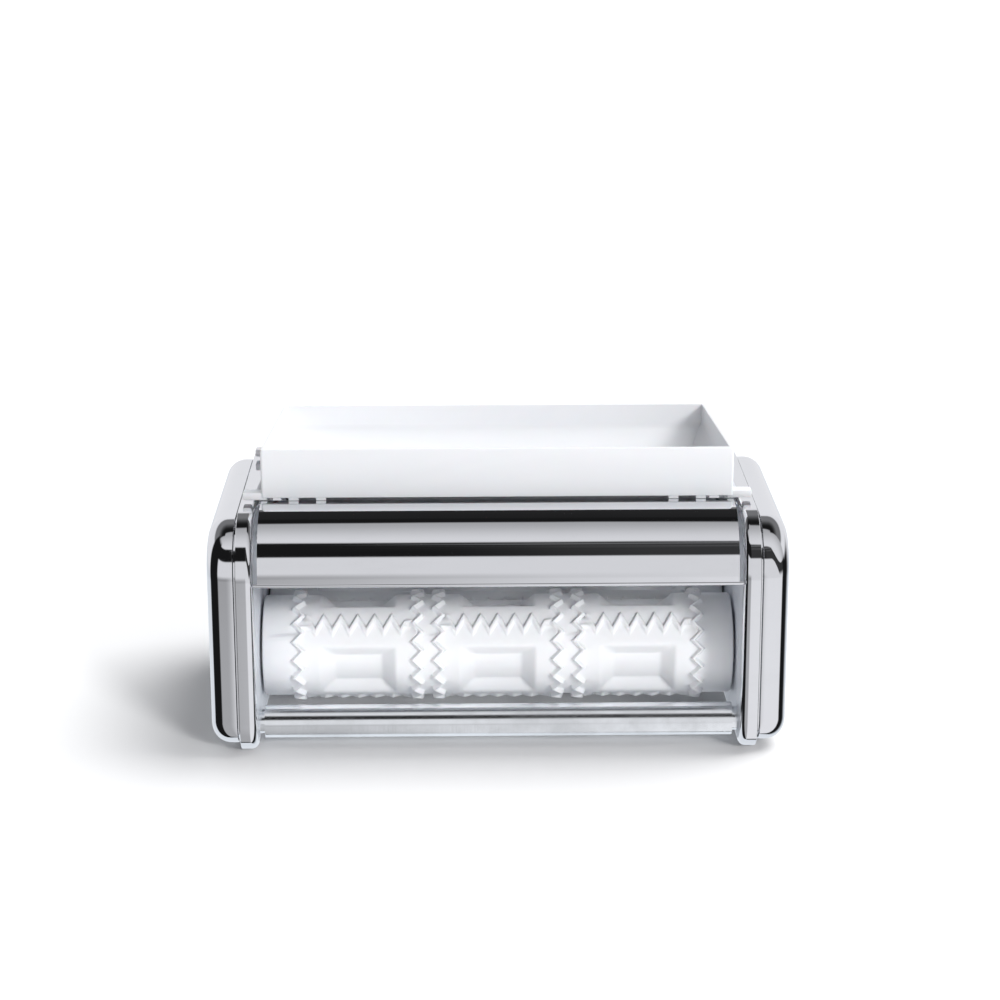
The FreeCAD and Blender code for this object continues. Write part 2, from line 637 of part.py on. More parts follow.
def hopper_plan(z, inset):
    """Plan of the rim, drawn in by inset: a little wider at the front than at the back."""
    front, back = -HOPPER_FRONT + inset, HOPPER_BACK - inset
    wide, narrow = HOPPER_FRONT_HALF - inset, HOPPER_BACK_HALF - inset
    corners = [point(-wide, front, z), point(wide, front, z), point(narrow, back, z), point(-narrow, back, z)]
    return Part.makePolygon(corners + corners[:1])


def slot_plan(z, half_length, half_width):
    corners = [point(-half_length, -half_width, z), point(half_length, -half_width, z),
               point(half_length, half_width, z), point(-half_length, half_width, z)]
    return Part.makePolygon(corners + corners[:1])


def hopper():
    """One moulding: an upright rim, a funnel down to a narrow throat, ribs, lugs and legs."""
    seat = PLATE_TOP + COVER_RISE + SEAT_GAP
    apron = PLATE_TOP + DOUGH_GAP
    rim = apron + APRON_HEIGHT
    shoulder = rim - RIM_DEPTH
    neck = shoulder - FUNNEL_DEPTH
    foot = AXLE_Z + THROAT_FOOT
    wall = HOPPER_WALL
    skirt = Part.Face(hopper_plan(apron, 0)).extrude(point(0, 0, rim - apron))
    skirt = skirt.cut(Part.Face(hopper_plan(apron, wall)).extrude(point(0, 0, rim - apron)))
    funnel = Part.makeLoft([hopper_plan(shoulder, wall / 2),
                            slot_plan(neck - wall, SLOT_HALF_LENGTH + wall, SLOT_HALF_WIDTH + wall)],
                           True, True)
    throat = Part.makeLoft([slot_plan(neck, SLOT_HALF_LENGTH + wall, SLOT_HALF_WIDTH + wall),
                            slot_plan(foot, SLOT_HALF_LENGTH + wall, THROAT_OUTER)], True, True)
    inside = Part.makeLoft([hopper_plan(shoulder + wall, wall),
                            slot_plan(neck, SLOT_HALF_LENGTH, SLOT_HALF_WIDTH)], True, True)
    passage = Part.makeLoft([slot_plan(neck, SLOT_HALF_LENGTH, SLOT_HALF_WIDTH),
                             slot_plan(foot, SLOT_HALF_LENGTH, THROAT_OUTER - wall)], True, True)
    body = skirt.fuse([funnel, throat])
    body = body.cut([inside, passage])
    extras = []
    cavity = Part.makeLoft([hopper_plan(shoulder + wall, wall / 2),
                            slot_plan(neck - wall, SLOT_HALF_LENGTH, SLOT_HALF_WIDTH)], True, True)
    for x in (HOPPER_FRONT_HALF - RIB_INSET - RIB_STEP, HOPPER_FRONT_HALF - RIB_INSET):
        for side in (-1, 1):
            for y0, y1 in ((-HOPPER_FRONT, -HOPPER_FRONT + RIB_DEPTH),
                           (HOPPER_BACK - RIB_DEPTH, HOPPER_BACK)):
                rib = block(side * x - RIB_WIDTH / 2, side * x + RIB_WIDTH / 2, y0, y1, seat, shoulder)
                extras.append(rib.cut(cavity))
    for side in (-1, 1):
        for y0 in (-HOPPER_FRONT + LUG_SETBACK, HOPPER_BACK - LUG_SETBACK - LUG_LENGTH):
            share = (y0 + LUG_LENGTH + HOPPER_FRONT) / (HOPPER_FRONT + HOPPER_BACK)
            inner = HOPPER_FRONT_HALF - HOPPER_TAPER * share - wall
            lug = block(inner, PLATE_X + LUG_OUT, y0, y0 + LUG_LENGTH, seat, seat + LUG_HEIGHT)
            extras.append(lug if side > 0 else mirrored_x(lug))
        leg_face = PLATE_X - LEG_GAP
        leg = block(leg_face - LEG_THICKNESS, leg_face, -LEG_WIDTH / 2, LEG_WIDTH / 2,
                    PLATE_TOP - LEG_DROP, apron + wall)
        shelf = block(HOPPER_BACK_HALF - 2 * wall, leg_face, -LEG_WIDTH / 2, LEG_WIDTH / 2,
                      apron, apron + wall)
        leg = leg.fuse(shelf)
        extras.append(leg if side > 0 else mirrored_x(leg))
    return body.fuse(extras).removeSplitter()


def build():
    """Every part of the assembly, under the name of its node."""
    roller = mould_roller()
    roller.translate(point(0, -ROLLER_Y, AXLE_Z))
    plate = side_plate()
    case = side_case()
    crank_hole = rod(CASE_X, CASE_FACE, -ROLLER_Y, AXLE_Z, CRANK_HOLE_RADIUS)
    cover = front_cover()
    hook = machine_hook()
    front_bush = bush(-ROLLER_Y)
    rear_bush = bush(ROLLER_Y)
    return {
        "right_side_plate": plate,
        "left_side_plate": mirrored_x(plate),
        "right_side_cover": case.cut(crank_hole),
        "left_side_cover": mirrored_x(case),
        "front_cover": cover,
        "rear_cover": mirrored_y(cover),
        "front_tie_rod": tie_rod(-ROD_Y, ROD_HEIGHT, ROD_RADIUS, ROD_NECK_RADIUS, ROD_NECK),
        "rear_tie_rod": tie_rod(ROD_Y, ROD_HEIGHT, ROD_RADIUS, ROD_NECK_RADIUS, ROD_NECK),
        "upper_front_tie_rod": tie_rod(-HIGH_ROD_Y, HIGH_ROD_Z, HIGH_ROD_RADIUS, HIGH_ROD_NECK_RADIUS, ROD_NECK),
        "upper_rear_tie_rod": tie_rod(HIGH_ROD_Y, HIGH_ROD_Z, HIGH_ROD_RADIUS, HIGH_ROD_NECK_RADIUS, ROD_NECK),
        "tie_rod_screws": tie_rod_screws(),
        "side_cover_screws": case_screws(),
        "right_machine_hook": hook,
        "left_machine_hook": mirrored_x(hook),
        "hook_rivets": hook_rivets(),
        "front_right_bush": front_bush,
        "front_left_bush": mirrored_x(front_bush),
        "rear_right_bush": rear_bush,
        "rear_left_bush": mirrored_x(rear_bush),
        "drive_shaft": drive_shaft(),
        "front_mould_roller": roller,
        "drive_gear": gear(-ROLLER_Y, 0),
        "drive_gear_key": key(-ROLLER_Y, FIXED_GAP),
        "drive_shaft_clips": clips(-ROLLER_Y),
        "idle_shaft": shaft(ROLLER_Y, IDLE_RIGHT_END, ROLLER_Y),
        "rear_mould_roller": mirrored_y(roller),
        "driven_gear": gear(ROLLER_Y, 0.5),
        "driven_gear_key": key(ROLLER_Y, FIXED_GAP),
        "idle_shaft_clips": clips(ROLLER_Y),
        "hopper": hopper(),
    }


def main():
    os.makedirs("parts", exist_ok=True)
    for name, shape in build().items():
        shape.translate(point(0, -HOOK_REACH / 2, 0))
        shape.exportStep("parts/" + name + ".step")


main()
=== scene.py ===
"""Dresses a ravioli attachment for a hand pasta machine: chromed housings and covers, white moulded
hopper and mould rollers, steel rods, gears and shafts, on a pale studio floor."""

import math
from types import SimpleNamespace

import bmesh
import bpy
from bpy.props import FloatProperty, FloatVectorProperty, IntProperty, PointerProperty
from mathutils import Matrix, Vector


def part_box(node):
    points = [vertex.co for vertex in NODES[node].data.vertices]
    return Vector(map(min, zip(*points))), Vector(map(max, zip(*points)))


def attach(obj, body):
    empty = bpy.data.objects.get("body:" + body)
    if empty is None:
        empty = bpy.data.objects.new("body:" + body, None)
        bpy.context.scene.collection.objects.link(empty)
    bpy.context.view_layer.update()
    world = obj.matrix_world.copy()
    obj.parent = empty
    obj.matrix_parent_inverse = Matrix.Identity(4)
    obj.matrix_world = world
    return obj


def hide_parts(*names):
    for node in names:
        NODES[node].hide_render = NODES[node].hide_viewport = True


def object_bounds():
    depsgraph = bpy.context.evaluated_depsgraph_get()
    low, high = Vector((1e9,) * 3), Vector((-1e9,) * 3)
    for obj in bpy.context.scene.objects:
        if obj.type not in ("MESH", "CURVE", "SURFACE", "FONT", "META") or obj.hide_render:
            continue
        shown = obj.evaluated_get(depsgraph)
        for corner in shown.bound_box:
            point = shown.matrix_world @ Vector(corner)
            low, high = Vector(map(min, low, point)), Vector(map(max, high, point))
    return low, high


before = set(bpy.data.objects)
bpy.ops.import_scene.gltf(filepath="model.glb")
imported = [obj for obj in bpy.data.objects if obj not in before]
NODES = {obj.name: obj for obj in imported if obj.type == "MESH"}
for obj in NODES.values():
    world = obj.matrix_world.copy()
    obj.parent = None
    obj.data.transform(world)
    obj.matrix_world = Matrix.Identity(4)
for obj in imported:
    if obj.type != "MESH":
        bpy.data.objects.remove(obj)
CAD_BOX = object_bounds()

bl_info = {
    "name": "Ravioli Attachment",
    "version": (1, 0, 0),
    "blender": (4, 5, 0),
    "location": "3D View > Sidebar > Ravioli",
    "description": "Finishes a ravioli attachment for a hand pasta machine",
    "category": "Object",
}

MM = 0.001

# Lengths are in millimetres and turns in degrees where no other unit is given.

# --- constants of the mould rollers --------------------------------------------------------

# Shape of a crimping ridge: distance from the middle of its crest, and its height as a share.
RIDGE_PROFILE = ((0.0, 1.0), (0.3, 0.97), (0.52, 0.84), (0.78, 0.40), (1.0, 0.10), (1.3, 0.0), (1.75, 0.0))
CROSS_LEGS = 14            # straight legs of a lengthwise ridge
CROSS_BREADTH = 0.95       # breadth of a lengthwise ridge against a ring's
CROSS_HEIGHT = 0.75        # its height against a ring's
CROSS_SLANT = 2.0          # its breadth round the roller against its breadth square to a leg
CROSS_REACH = 3.6          # its rows take this much either side
FOLLOW_TURN = 22.0         # rows nearer than this to it bend with it
LAND_TURN = 10.0           # either side of the flat that it stands on
RING_REACH = 3.0           # either side of a ring that has no flat
RING_CLEAR = 3.9           # a ring's columns take this much either side
RING_SHARES = (0.0, 0.12, 0.5, 0.88)    # rows along each leg of a ring's zigzag
JOIN_START = 0.3           # rows begin to bend with a lengthwise ridge this far inside the ring
JOIN_END = 2.5             # and bend fully from here on
POCKET_HALF = 13.4         # from a pocket's middle to its mouth, along the roller
FLOOR_HALF = 8.4           # and to the edge of its floor
POCKET_TURN = 34.5         # from a pocket's middle to its mouth, round the roller
FLOOR_TURN = 22.8
POCKET_ROUNDING = 0.09     # share of a pocket's wall that its rounded edges take
EDGE_COLUMNS = (-0.7, 0.0, 0.7)         # columns at each of its edges
EDGE_ROWS = (-2.0, 0.0, 2.0)            # and rows
SMALLEST_STEP = 0.35       # between two columns
SMALLEST_TURN = 0.7        # between two rows
END_BEVEL = 0.5            # at the rim of each end

# --- constants of the pressed sheet and the hopper -----------------------------------------

BEND_STEPS = 20            # steps round a bend of a housing or cover
EDGE_STEPS = 10            # steps round a pressed edge
HOLE_STEPS = 28            # steps round a hole
LEAST_BEND = 0.5           # radius that a drawn in bend keeps
BURR = 0.15                # taken off the corners of a plate's rim
BEAD_SOFT = 0.25           # share of a bead's radius that its ends lose
SHARP = math.radians(40.0)  # edges that turn more than this stay crisp

PLAN_STEPS = 5             # steps round a corner of the hopper
LEAST_CORNER = 0.25        # radius that a drawn in corner keeps
INNER_BEND = 1.2           # size of the bends inside it
FUNNEL_SLOPE = 1.07        # how steeply the funnel falls
RIB_TOP = 1.0              # depth of a rib where it meets the funnel
SKIN = 0.15                # ribs and brackets stay this far inside the faces next to them

# --- constants of the room -----------------------------------------------------------------

# Turns are to the right of straight in front, and heights are above level. Brightness is a share
# of the room's light.
BLEND = 0.04               # the front and the back of the room pass into each other this near to the part
WALL_LIGHT = 0.9           # brightness of the wall in front
CEILING_RUN = (-0.57, 0.17)             # places from front to back between which the ceiling fades
CEILING_LIGHT = (0.92, 0.5)             # its brightness there
CEILING_SOFTNESS = 2.0
BAND_FOOT_TURNS = (10.0, 80.0)          # the foot of the dark band over the wall falls between these
BAND_FOOT_END = -0.4                    # to this share of the way up
BAND_FOOT_SOFTNESS = 0.03
BAND_TOP_TURNS = (6.0, 70.0)            # and its top between these
BAND_TOP_END = 0.14
BAND_TOP_SOFTNESS = 0.02
STREAK_HEIGHTS = (37.0, 52.0)           # pale streaks come in over these heights of the dark band
STREAK_TURNS = (-6.0, 2.0)
STREAK_LIGHT = 0.12
GLOW_TURNS = (-2.0, 6.0)                # an even glow comes in over these turns
GLOW_LIGHT = 0.035
BACK_WALL_SOFTNESS = 4.0
HAZE_HEIGHTS = (72.0, 48.0)             # a haze over the wall behind comes in from the first down
HAZE_LIGHT = 0.22
LEFT_GAP = (-108.0, -100.0, -54.0, -46.0)    # turns over which it gets dark and bright again
LEFT_GAP_TOP = 60.0
RIGHT_GAP = (74.0, 82.0, 108.0, 140.0)
RIGHT_GAP_TOP = 8.0
GAP_SOFTNESS = 6.0
LOW_WALL_TOP = -9.0
LOW_WALL_SOFTNESS = 5.0
LOW_WALL_TURNS = (-9.0, 7.0)            # its left part passes into its right part
LOW_WALL_HEIGHTS = (-20.0, -14.0)       # it gets darker between these
LOW_WALL_SHADES = (0.08, -0.05)         # by this much
LIGHT_TINT = (0.985, 0.99, 1.02)
COOL_RED = 0.07                         # red that the low wall behind lacks
COOL_GREEN = 0.028
BACKDROP = (0.97, 0.97, 0.972, 1.0)     # colour of the room where it is seen past the floor

# The lamps: place in metres, and degrees across.
KEY_LAMP = ((0.75, 0.35, 1.35), 45.0)
FRONT_LAMP = ((0.84, -1.25, 0.70), 14.0)
REAR_LAMP = ((-0.35, 1.3, 0.35), 32.0)
REAR_COLOUR = (0.86, 0.94, 1.0)
LAMP_AIM = Vector((0, 0, 0.05))


# --- shader graphs -------------------------------------------------------------------------

class Value:
    """A shader socket that takes part in Python arithmetic, where each operation adds a Math node."""

    def __init__(self, graph, socket):
        self.graph = graph
        self.socket = socket

    def math(self, operation, *others):
        return self.graph.node("ShaderNodeMath", {"operation": operation}, (self,) + others)

    def __add__(self, other):
        return self.math("ADD", other)

    __radd__ = __add__

    def __mul__(self, other):
        return self.math("MULTIPLY", other)

    __rmul__ = __mul__

    def __sub__(self, other):
        return self.math("SUBTRACT", other)

    def __rsub__(self, other):
        return self.graph.node("ShaderNodeMath", {"operation": "SUBTRACT"}, (other, self))

    def clamped(self):
        return self.graph.node("ShaderNodeMath", {"operation": "ADD", "use_clamp": True}, (self, 0.0))


class Graph:
    """The node tree of a material or of the world, filled through one method."""

    def __init__(self, owner):
        owner.use_nodes = True
        self.tree = owner.node_tree
        self.tree.nodes.clear()

    def node(self, kind, settings=None, inputs=None, output=0):
        """Adds a node. Settings come first, then socket values or links, by name or in order."""
        made = self.tree.nodes.new(kind)
        for name, value in (settings or {}).items():
            setattr(made, name, value)
        if isinstance(inputs, (tuple, list)):
            inputs = dict(enumerate(inputs))
        for name, value in (inputs or {}).items():
            socket = made.inputs[name]
            if isinstance(value, Value):
                self.tree.links.new(value.socket, socket)
            else:
                socket.default_value = value
        if not made.outputs:
            return None
        return Value(self, made.outputs[output])

    def coordinates(self):
        return self.node("ShaderNodeTexCoord", output="Object")

    def noise(self, where, scale, detail=3.0, roughness=0.5, distortion=0.0):
        return self.node("ShaderNodeTexNoise", None,
                         {"Vector": where, "Scale": scale, "Detail": detail,
                          "Roughness": roughness, "Distortion": distortion})

    def spread(self, value, low, high, to_low=0.0, to_high=1.0):
        """Value from low to high, spread over to_low to to_high and held there."""
        return self.node("ShaderNodeMapRange", {"interpolation_type": "SMOOTHSTEP"},
                         (value, low, high, to_low, to_high))

    def blend(self, factor, first, second):
        return self.node("ShaderNodeMix", {"data_type": "RGBA"},
                         {0: factor, 6: first, 7: second}, output=2)

    def stretched(self, where, x, y, z):
        return self.node("ShaderNodeVectorMath", {"operation": "MULTIPLY"}, (where, (x, y, z)))

    def bump(self, height, strength, distance):
        return self.node("ShaderNodeBump", None,
                         {"Height": height, "Strength": strength, "Distance": distance})

    def shades(self, factor, colour, first, second):
        """From one brightness of a colour to another."""
        return self.blend(factor, tinted(colour, first), tinted(colour, second))

    def surface(self, **inputs):
        named = {key.replace("_", " "): value for key, value in inputs.items()}
        shader = self.node("ShaderNodeBsdfPrincipled", None, named)
        self.node("ShaderNodeOutputMaterial", None, {"Surface": shader})


def new_material(name):
    material = bpy.data.materials.new(name)
    return material, Graph(material)


def tinted(colour, factor):
    return tuple(min(1.0, c * factor) for c in colour[:3]) + (1.0,)


# --- finishes ------------------------------------------------------------------------------

def chrome_plate(g, where, settings):
    """Bright chrome on pressed sheet: a mirror with faint ripples, wipe marks and specks of dust."""
    ripple = g.noise(where, 26.0, 1.0)
    haze = g.spread(g.noise(g.stretched(where, 1.0, 1.0, 3.0), 34.0, 5.0, 0.62), 0.48, 0.74)
    wiped = g.spread(g.noise(g.stretched(where, 0.35, 1.0, 6.0), 210.0, 4.0, 0.6, 0.4), 0.55, 0.8)
    speck = g.spread(g.noise(where, 1900.0, 2.0), 0.73, 0.78)
    rough = settings.chrome_roughness + haze * 0.035 + wiped * 0.02 + speck * 0.12
    colour = g.shades((haze * 0.35 + speck * 0.5).clamped(), settings.chrome_colour, 1.0, 0.93)
    g.surface(Base_Color=colour, Metallic=1.0, Roughness=rough, Normal=g.bump(ripple, 0.10, 0.0006))


def satin_plate(g, where, settings):
    """The inner face of a side plate: dull plating with a soft cloudy grain."""
    cloud = g.noise(where, 60.0, 4.0, 0.6)
    grain = g.noise(g.stretched(where, 1.0, 0.1, 1.0), 1500.0, 2.0)
    colour = g.shades(g.spread(cloud, 0.35, 0.7), settings.satin_colour, 1.0, 0.94)
    g.surface(Base_Color=colour, Metallic=0.35, Roughness=0.42 + cloud * 0.08 + grain * 0.06,
              Normal=g.bump(grain, 0.08, 0.0001))


def polished_steel(g, where, settings):
    """Drawn and polished bar: bright, with fine rings and a few lengthwise rubs."""
    rings = g.noise(g.stretched(where, 1.0, 0.02, 0.02), 2600.0, 2.0)
    cloud = g.noise(where, 45.0, 4.0, 0.6)
    rough = settings.steel_roughness + g.spread(cloud, 0.4, 0.7) * 0.08 + rings * 0.05
    colour = g.shades(g.spread(cloud, 0.35, 0.75), settings.steel_colour, 1.06, 0.9)
    g.surface(Base_Color=colour, Metallic=1.0, Roughness=rough, Normal=g.bump(rings, 0.08, 0.0001))


def zinc_plate(g, where, settings):
    """Zinc plated steel: soft grey with a cool crystalline bloom."""
    bloom = g.node("ShaderNodeTexVoronoi", {"feature": "F1"}, {"Vector": where, "Scale": 520.0}, output=1)
    bloom = g.node("ShaderNodeSeparateColor", None, (bloom,))
    cloud = g.noise(where, 80.0, 4.0, 0.6)
    patches = (bloom * 0.5 + g.spread(cloud, 0.35, 0.7) * 0.5).clamped()
    colour = g.shades(patches, settings.zinc_colour, 0.85, 1.08)
    rough = 0.30 + bloom * 0.12 + cloud * 0.1
    g.surface(Base_Color=colour, Metallic=1.0, Roughness=rough, Normal=g.bump(cloud, 0.12, 0.0002))


def machined_steel(g, where, settings):
    """Turned and hobbed steel with a film of oil: fine tool marks across the axle."""
    tool = g.noise(g.stretched(where, 1.0, 0.05, 0.05), 3200.0, 2.0)
    oil = g.spread(g.noise(where, 60.0, 4.0, 0.6), 0.45, 0.65)
    colour = g.shades(oil, settings.steel_colour, 0.86, 0.68)
    rough = 0.34 - oil * 0.12 + tool * 0.08
    g.surface(Base_Color=colour, Metallic=1.0, Roughness=rough, Normal=g.bump(tool, 0.15, 0.0002))


def bush_nylon(g, where, settings):
    """Natural nylon: ivory, dull, a little mottled."""
    mottle = g.noise(where, 160.0, 4.0, 0.6)
    colour = g.shades(g.spread(mottle, 0.35, 0.7), settings.nylon_colour, 1.0, 0.93)
    g.surface(Base_Color=colour, Roughness=0.5 + mottle * 0.1, Normal=g.bump(mottle, 0.1, 0.0002),
              Subsurface_Weight=0.1, Subsurface_Scale=0.002)


def moulded_white(g, where, tint, gloss, grain):
    """Food safe white plastic, fresh from the mould: fine grain, faint flow marks, light rubs."""
    fine = g.noise(where, 2400.0, 2.0)
    flow = g.noise(g.stretched(where, 0.5, 1.0, 1.6), 22.0, 3.0, 0.55, 0.6)
    rubs = g.spread(g.noise(g.stretched(where, 0.12, 1.0, 1.0), 520.0, 3.0, 0.6), 0.60, 0.74)
    colour = g.shades(g.spread(flow, 0.35, 0.7), tint, 1.0, 0.972)
    rough = gloss + g.spread(flow, 0.3, 0.75) * 0.06 + rubs * 0.07 + fine * 0.04
    height = fine * grain + flow * 0.4
    g.surface(Base_Color=colour, Roughness=rough, Normal=g.bump(height, 0.12, 0.0002),
              Subsurface_Weight=0.06, Subsurface_Scale=0.0015, IOR=1.5)


def hopper_white(g, where, settings):
    """The hopper's plastic, in a tint darker than the rollers': painted shade that tones down the strong
    light falling on the hopper.
    """
    moulded_white(g, where, settings.hopper_colour, settings.hopper_roughness, 0.5)


def roller_white(g, where, settings):
    """The mould rollers' plastic, a little duller and coarser, in a tint brighter than the hopper's:
    painted light that makes up for the shade the covers throw on them.
    """
    moulded_white(g, where, settings.roller_colour, settings.roller_roughness, 0.7)


FINISHES = {maker.__name__: maker for maker in (
    chrome_plate, satin_plate, polished_steel, zinc_plate, machined_steel, bush_nylon, hopper_white,
    roller_white)}


def finish(name):
    """The finish of that name, made on first use."""
    material = bpy.data.materials.get(name)
    if material is None:
        material, g = new_material(name)
        FINISHES[name](g, g.coordinates(), bpy.context.scene.ravioli_finishes)
    return material


# --- meshes --------------------------------------------------------------------------------

def measures(settings):
    """The values of a group of settings, with lengths in millimetres and angles in degrees."""
    found = SimpleNamespace()
    for name in type(settings).__annotations__:
        value = getattr(settings, name)
        unit = settings.bl_rna.properties[name].unit
        if unit == "LENGTH":
            value /= MM
        elif unit == "ROTATION":
            value = math.degrees(value)
        setattr(found, name, value)
    return found


def middle_of(node):
    """Place of a CAD node's middle in the side view, in millimetres."""
    low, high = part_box(node)
    return (low[1] + high[1]) / 2 / MM, (low[2] + high[2]) / 2 / MM


def join_loops(mesh, here, there):
    """Fills between two closed loops of as many vertices."""
    for a, b, c, d in zip(here, there, there[1:] + there[:1], here[1:] + here[:1]):
        mesh.faces.new((a, b, c, d))


def add_loops(mesh, loops, closed=False):
    """Joins loops of as many points in millimetres, each to the next, and gives their vertices."""
    lines = [[mesh.verts.new(Vector(place) * MM) for place in loop] for loop in loops]
    for here, there in zip(lines, lines[1:] + (lines[:1] if closed else [])):
        join_loops(mesh, here, there)
    return lines


def smooth_outward(mesh):
    """Turns all faces outward and shades them smooth."""
    bmesh.ops.recalc_face_normals(mesh, faces=mesh.faces)
    for face in mesh.faces:
        face.smooth = True


class MouldGrid:
    """The working surface of a mould roller, as rows round the axle and columns along it.

    Columns follow the zigzag of the crimping rings and rows follow that of the lengthwise ridges,
    so that every crest is a clean line. Lengths are in millimetres and turns in degrees."""

    def __init__(self, sizes):
        self.sizes = sizes
        self.reach = sizes.roller_length / 2
        self.radius = sizes.mould_radius
        self.height = sizes.ridge_height
        self.cell = sizes.cell_width
        pitch = self.cell + sizes.cell_gap
        self.centres = [(i - (sizes.cells_across - 1) / 2) * pitch for i in range(sizes.cells_across)]
        self.rings = sorted(c + side * self.cell / 2 for c in self.centres for side in (-1, 1))
        self.step = 360.0 / sizes.cells_around
        self.leg = 180.0 / sizes.ring_teeth
        self.per_mm = math.degrees(1.0 / self.radius)
        self.cross_leg = self.cell / CROSS_LEGS

    @staticmethod
    def zigzag(place):
        """Between -0.5 and 0.5, with a corner at each whole number."""
        return abs((place % 2.0) - 1.0) - 0.5

    @staticmethod
    def crest(distance):
        """Height of a ridge, as a share, at a distance from the middle of its crest."""
        for (near, high), (far, low) in zip(RIDGE_PROFILE, RIDGE_PROFILE[1:]):
            if distance < far:
                return high + (low - high) * (distance - near) / (far - near)
        return 0.0

    def ring_shift(self, turn):
        """How far a crimping ring stands from its own middle at a turn."""
        return -self.zigzag(turn / self.leg) * self.sizes.ring_swing

    def cross_shift(self, x, centre):
        """How far a lengthwise ridge stands from its own middle, in millimetres round the roller."""
        return -self.zigzag((x - centre + self.cell / 2) / self.cross_leg) * self.sizes.cross_swing

    def from_ridge(self, turn):
        """Turn from the nearest lengthwise ridge's middle."""
        return (turn + self.step / 2) % self.step - self.step / 2

    def radius_at(self, x, turn):
        """Distance of the surface from the axle."""
        ring = min(abs(x - r - self.ring_shift(turn)) for r in self.rings)
        rise = self.crest(ring)
        away = self.from_ridge(turn)
        base = self.radius
        centre = min(self.centres, key=lambda c: abs(x - c))
        inside = self.cell / 2 - abs(x - centre)
        if inside > 0.0:
            if abs(away) < LAND_TURN and inside > RING_REACH:
                base *= math.cos(math.radians(LAND_TURN)) / math.cos(math.radians(away))
            slant = math.hypot(1.0, self.sizes.cross_swing / self.cross_leg)
            gap = abs(away / self.per_mm - self.cross_shift(x, centre)) / slant
            rise = max(rise, self.crest(gap / CROSS_BREADTH) * CROSS_HEIGHT)
        return base + rise * self.height - self.hollow(x - centre, away)

    def hollow(self, x, away):
        """Depth of the pocket that shapes one raviolo, smooth at its mouth and floor."""
        turn = self.step / 2 - abs(away)
        along = (POCKET_HALF - abs(x)) / (POCKET_HALF - FLOOR_HALF)
        around = (POCKET_TURN - turn) / (POCKET_TURN - FLOOR_TURN)
        share = min(along, around)
        if share < -POCKET_ROUNDING:
            return 0.0
        if share < POCKET_ROUNDING:
            share = (share + POCKET_ROUNDING) ** 2 / (4 * POCKET_ROUNDING)
        elif share > 1 + POCKET_ROUNDING:
            share = 1.0
        elif share > 1 - POCKET_ROUNDING:
            share = 1 - (1 + POCKET_ROUNDING - share) ** 2 / (4 * POCKET_ROUNDING)
        return share * self.sizes.pocket_depth

    def columns(self):
        """Places along the roller: each with its ring's middle where it follows a ring."""
        places = []
        for ring in self.rings:
            for offset in ridge_offsets():
                places.append((ring + offset, ring))
        for centre in self.centres:
            inner = self.cell / 2 - RING_CLEAR
            marks = set()
            for leg in range(2 * CROSS_LEGS + 1):
                marks.add(round(leg * self.cross_leg / 2 - self.cell / 2, 4))
            for edge in (POCKET_HALF, FLOOR_HALF):
                for side in (-1, 1):
                    for rounding in EDGE_COLUMNS:
                        marks.add(round(side * (edge + rounding), 4))
            kept = []
            for mark in sorted(m for m in marks if abs(m) < inner):
                if not kept or mark - kept[-1] > SMALLEST_STEP:
                    kept.append(mark)
            places += [(centre + mark, None) for mark in kept]
        return sorted(places, key=lambda place: place[0])

    def rows(self):
        """Turns round the roller at which its surface bends."""
        marks = []
        for leg in range(2 * self.sizes.ring_teeth):
            for share in RING_SHARES:
                marks.append((leg + share) * self.leg)
        for cell in range(self.sizes.cells_around):
            for side in (-1, 1):
                for edge in (POCKET_TURN, FLOOR_TURN):
                    for rounding in EDGE_ROWS:
                        marks.append((cell + 0.5) * self.step + side * (edge + rounding))
        clear = CROSS_REACH * self.per_mm
        marks = sorted(m for m in marks if abs(self.from_ridge(m)) > clear)
        kept = []
        for mark in marks:
            if not kept or mark - kept[-1] > SMALLEST_TURN:
                kept.append(mark)
        for cell in range(self.sizes.cells_around):
            for offset in ridge_offsets(CROSS_BREADTH * CROSS_SLANT):
                kept.append((cell * self.step + offset * self.per_mm) % 360.0)
        return sorted(kept)

    def place(self, x, ring, turn):
        """Moves a grid point to follow the zigzags, and gives its x and turn."""
        centre = min(self.centres, key=lambda c: abs(x - c))
        inside = self.cell / 2 - abs(x - centre)
        if inside > JOIN_START:
            clear = CROSS_REACH * self.per_mm
            near = min(1.0, max(0.0, (FOLLOW_TURN - abs(self.from_ridge(turn))) / (FOLLOW_TURN - clear)))
            near *= min(1.0, (inside - JOIN_START) / (JOIN_END - JOIN_START))
            turn += near * self.cross_shift(x, centre) * self.per_mm
        if ring is not None:
            x += self.ring_shift(turn)
        return x, turn


def ridge_offsets(breadth=1.0):
    """Places either side of a crest where its surface bends."""
    out = [distance * breadth for distance, share in RIDGE_PROFILE]
    return [-distance for distance in out[:0:-1]] + out


def rim_point(x, radius, turn):
    """A point on a roller about the X axis: 0 faces the front and 90 faces up."""
    angle = math.radians(turn)
    return x, -radius * math.cos(angle), radius * math.sin(angle)


def mould_roller_mesh(sizes):
    """The front mould roller about its own axle, with its ends and its bore."""
    grid = MouldGrid(sizes)
    rows = grid.rows()
    loops = []
    for x, ring in [(-grid.reach + END_BEVEL, None)] + grid.columns() + [(grid.reach - END_BEVEL, None)]:
        loop = []
        for row in rows:
            place, turn = grid.place(x, ring, row)
            loop.append(rim_point(place, grid.radius_at(place, turn), turn + sizes.cell_phase))
        loops.append(loop)
    end = grid.radius - END_BEVEL
    for x, radius in ((grid.reach, end), (grid.reach, sizes.bore_radius),
                      (-grid.reach, sizes.bore_radius), (-grid.reach, end)):
        loops.append([rim_point(x, radius, row + sizes.cell_phase) for row in rows])
    mesh = bmesh.new()
    add_loops(mesh, loops, closed=True)
    smooth_outward(mesh)
    return mesh


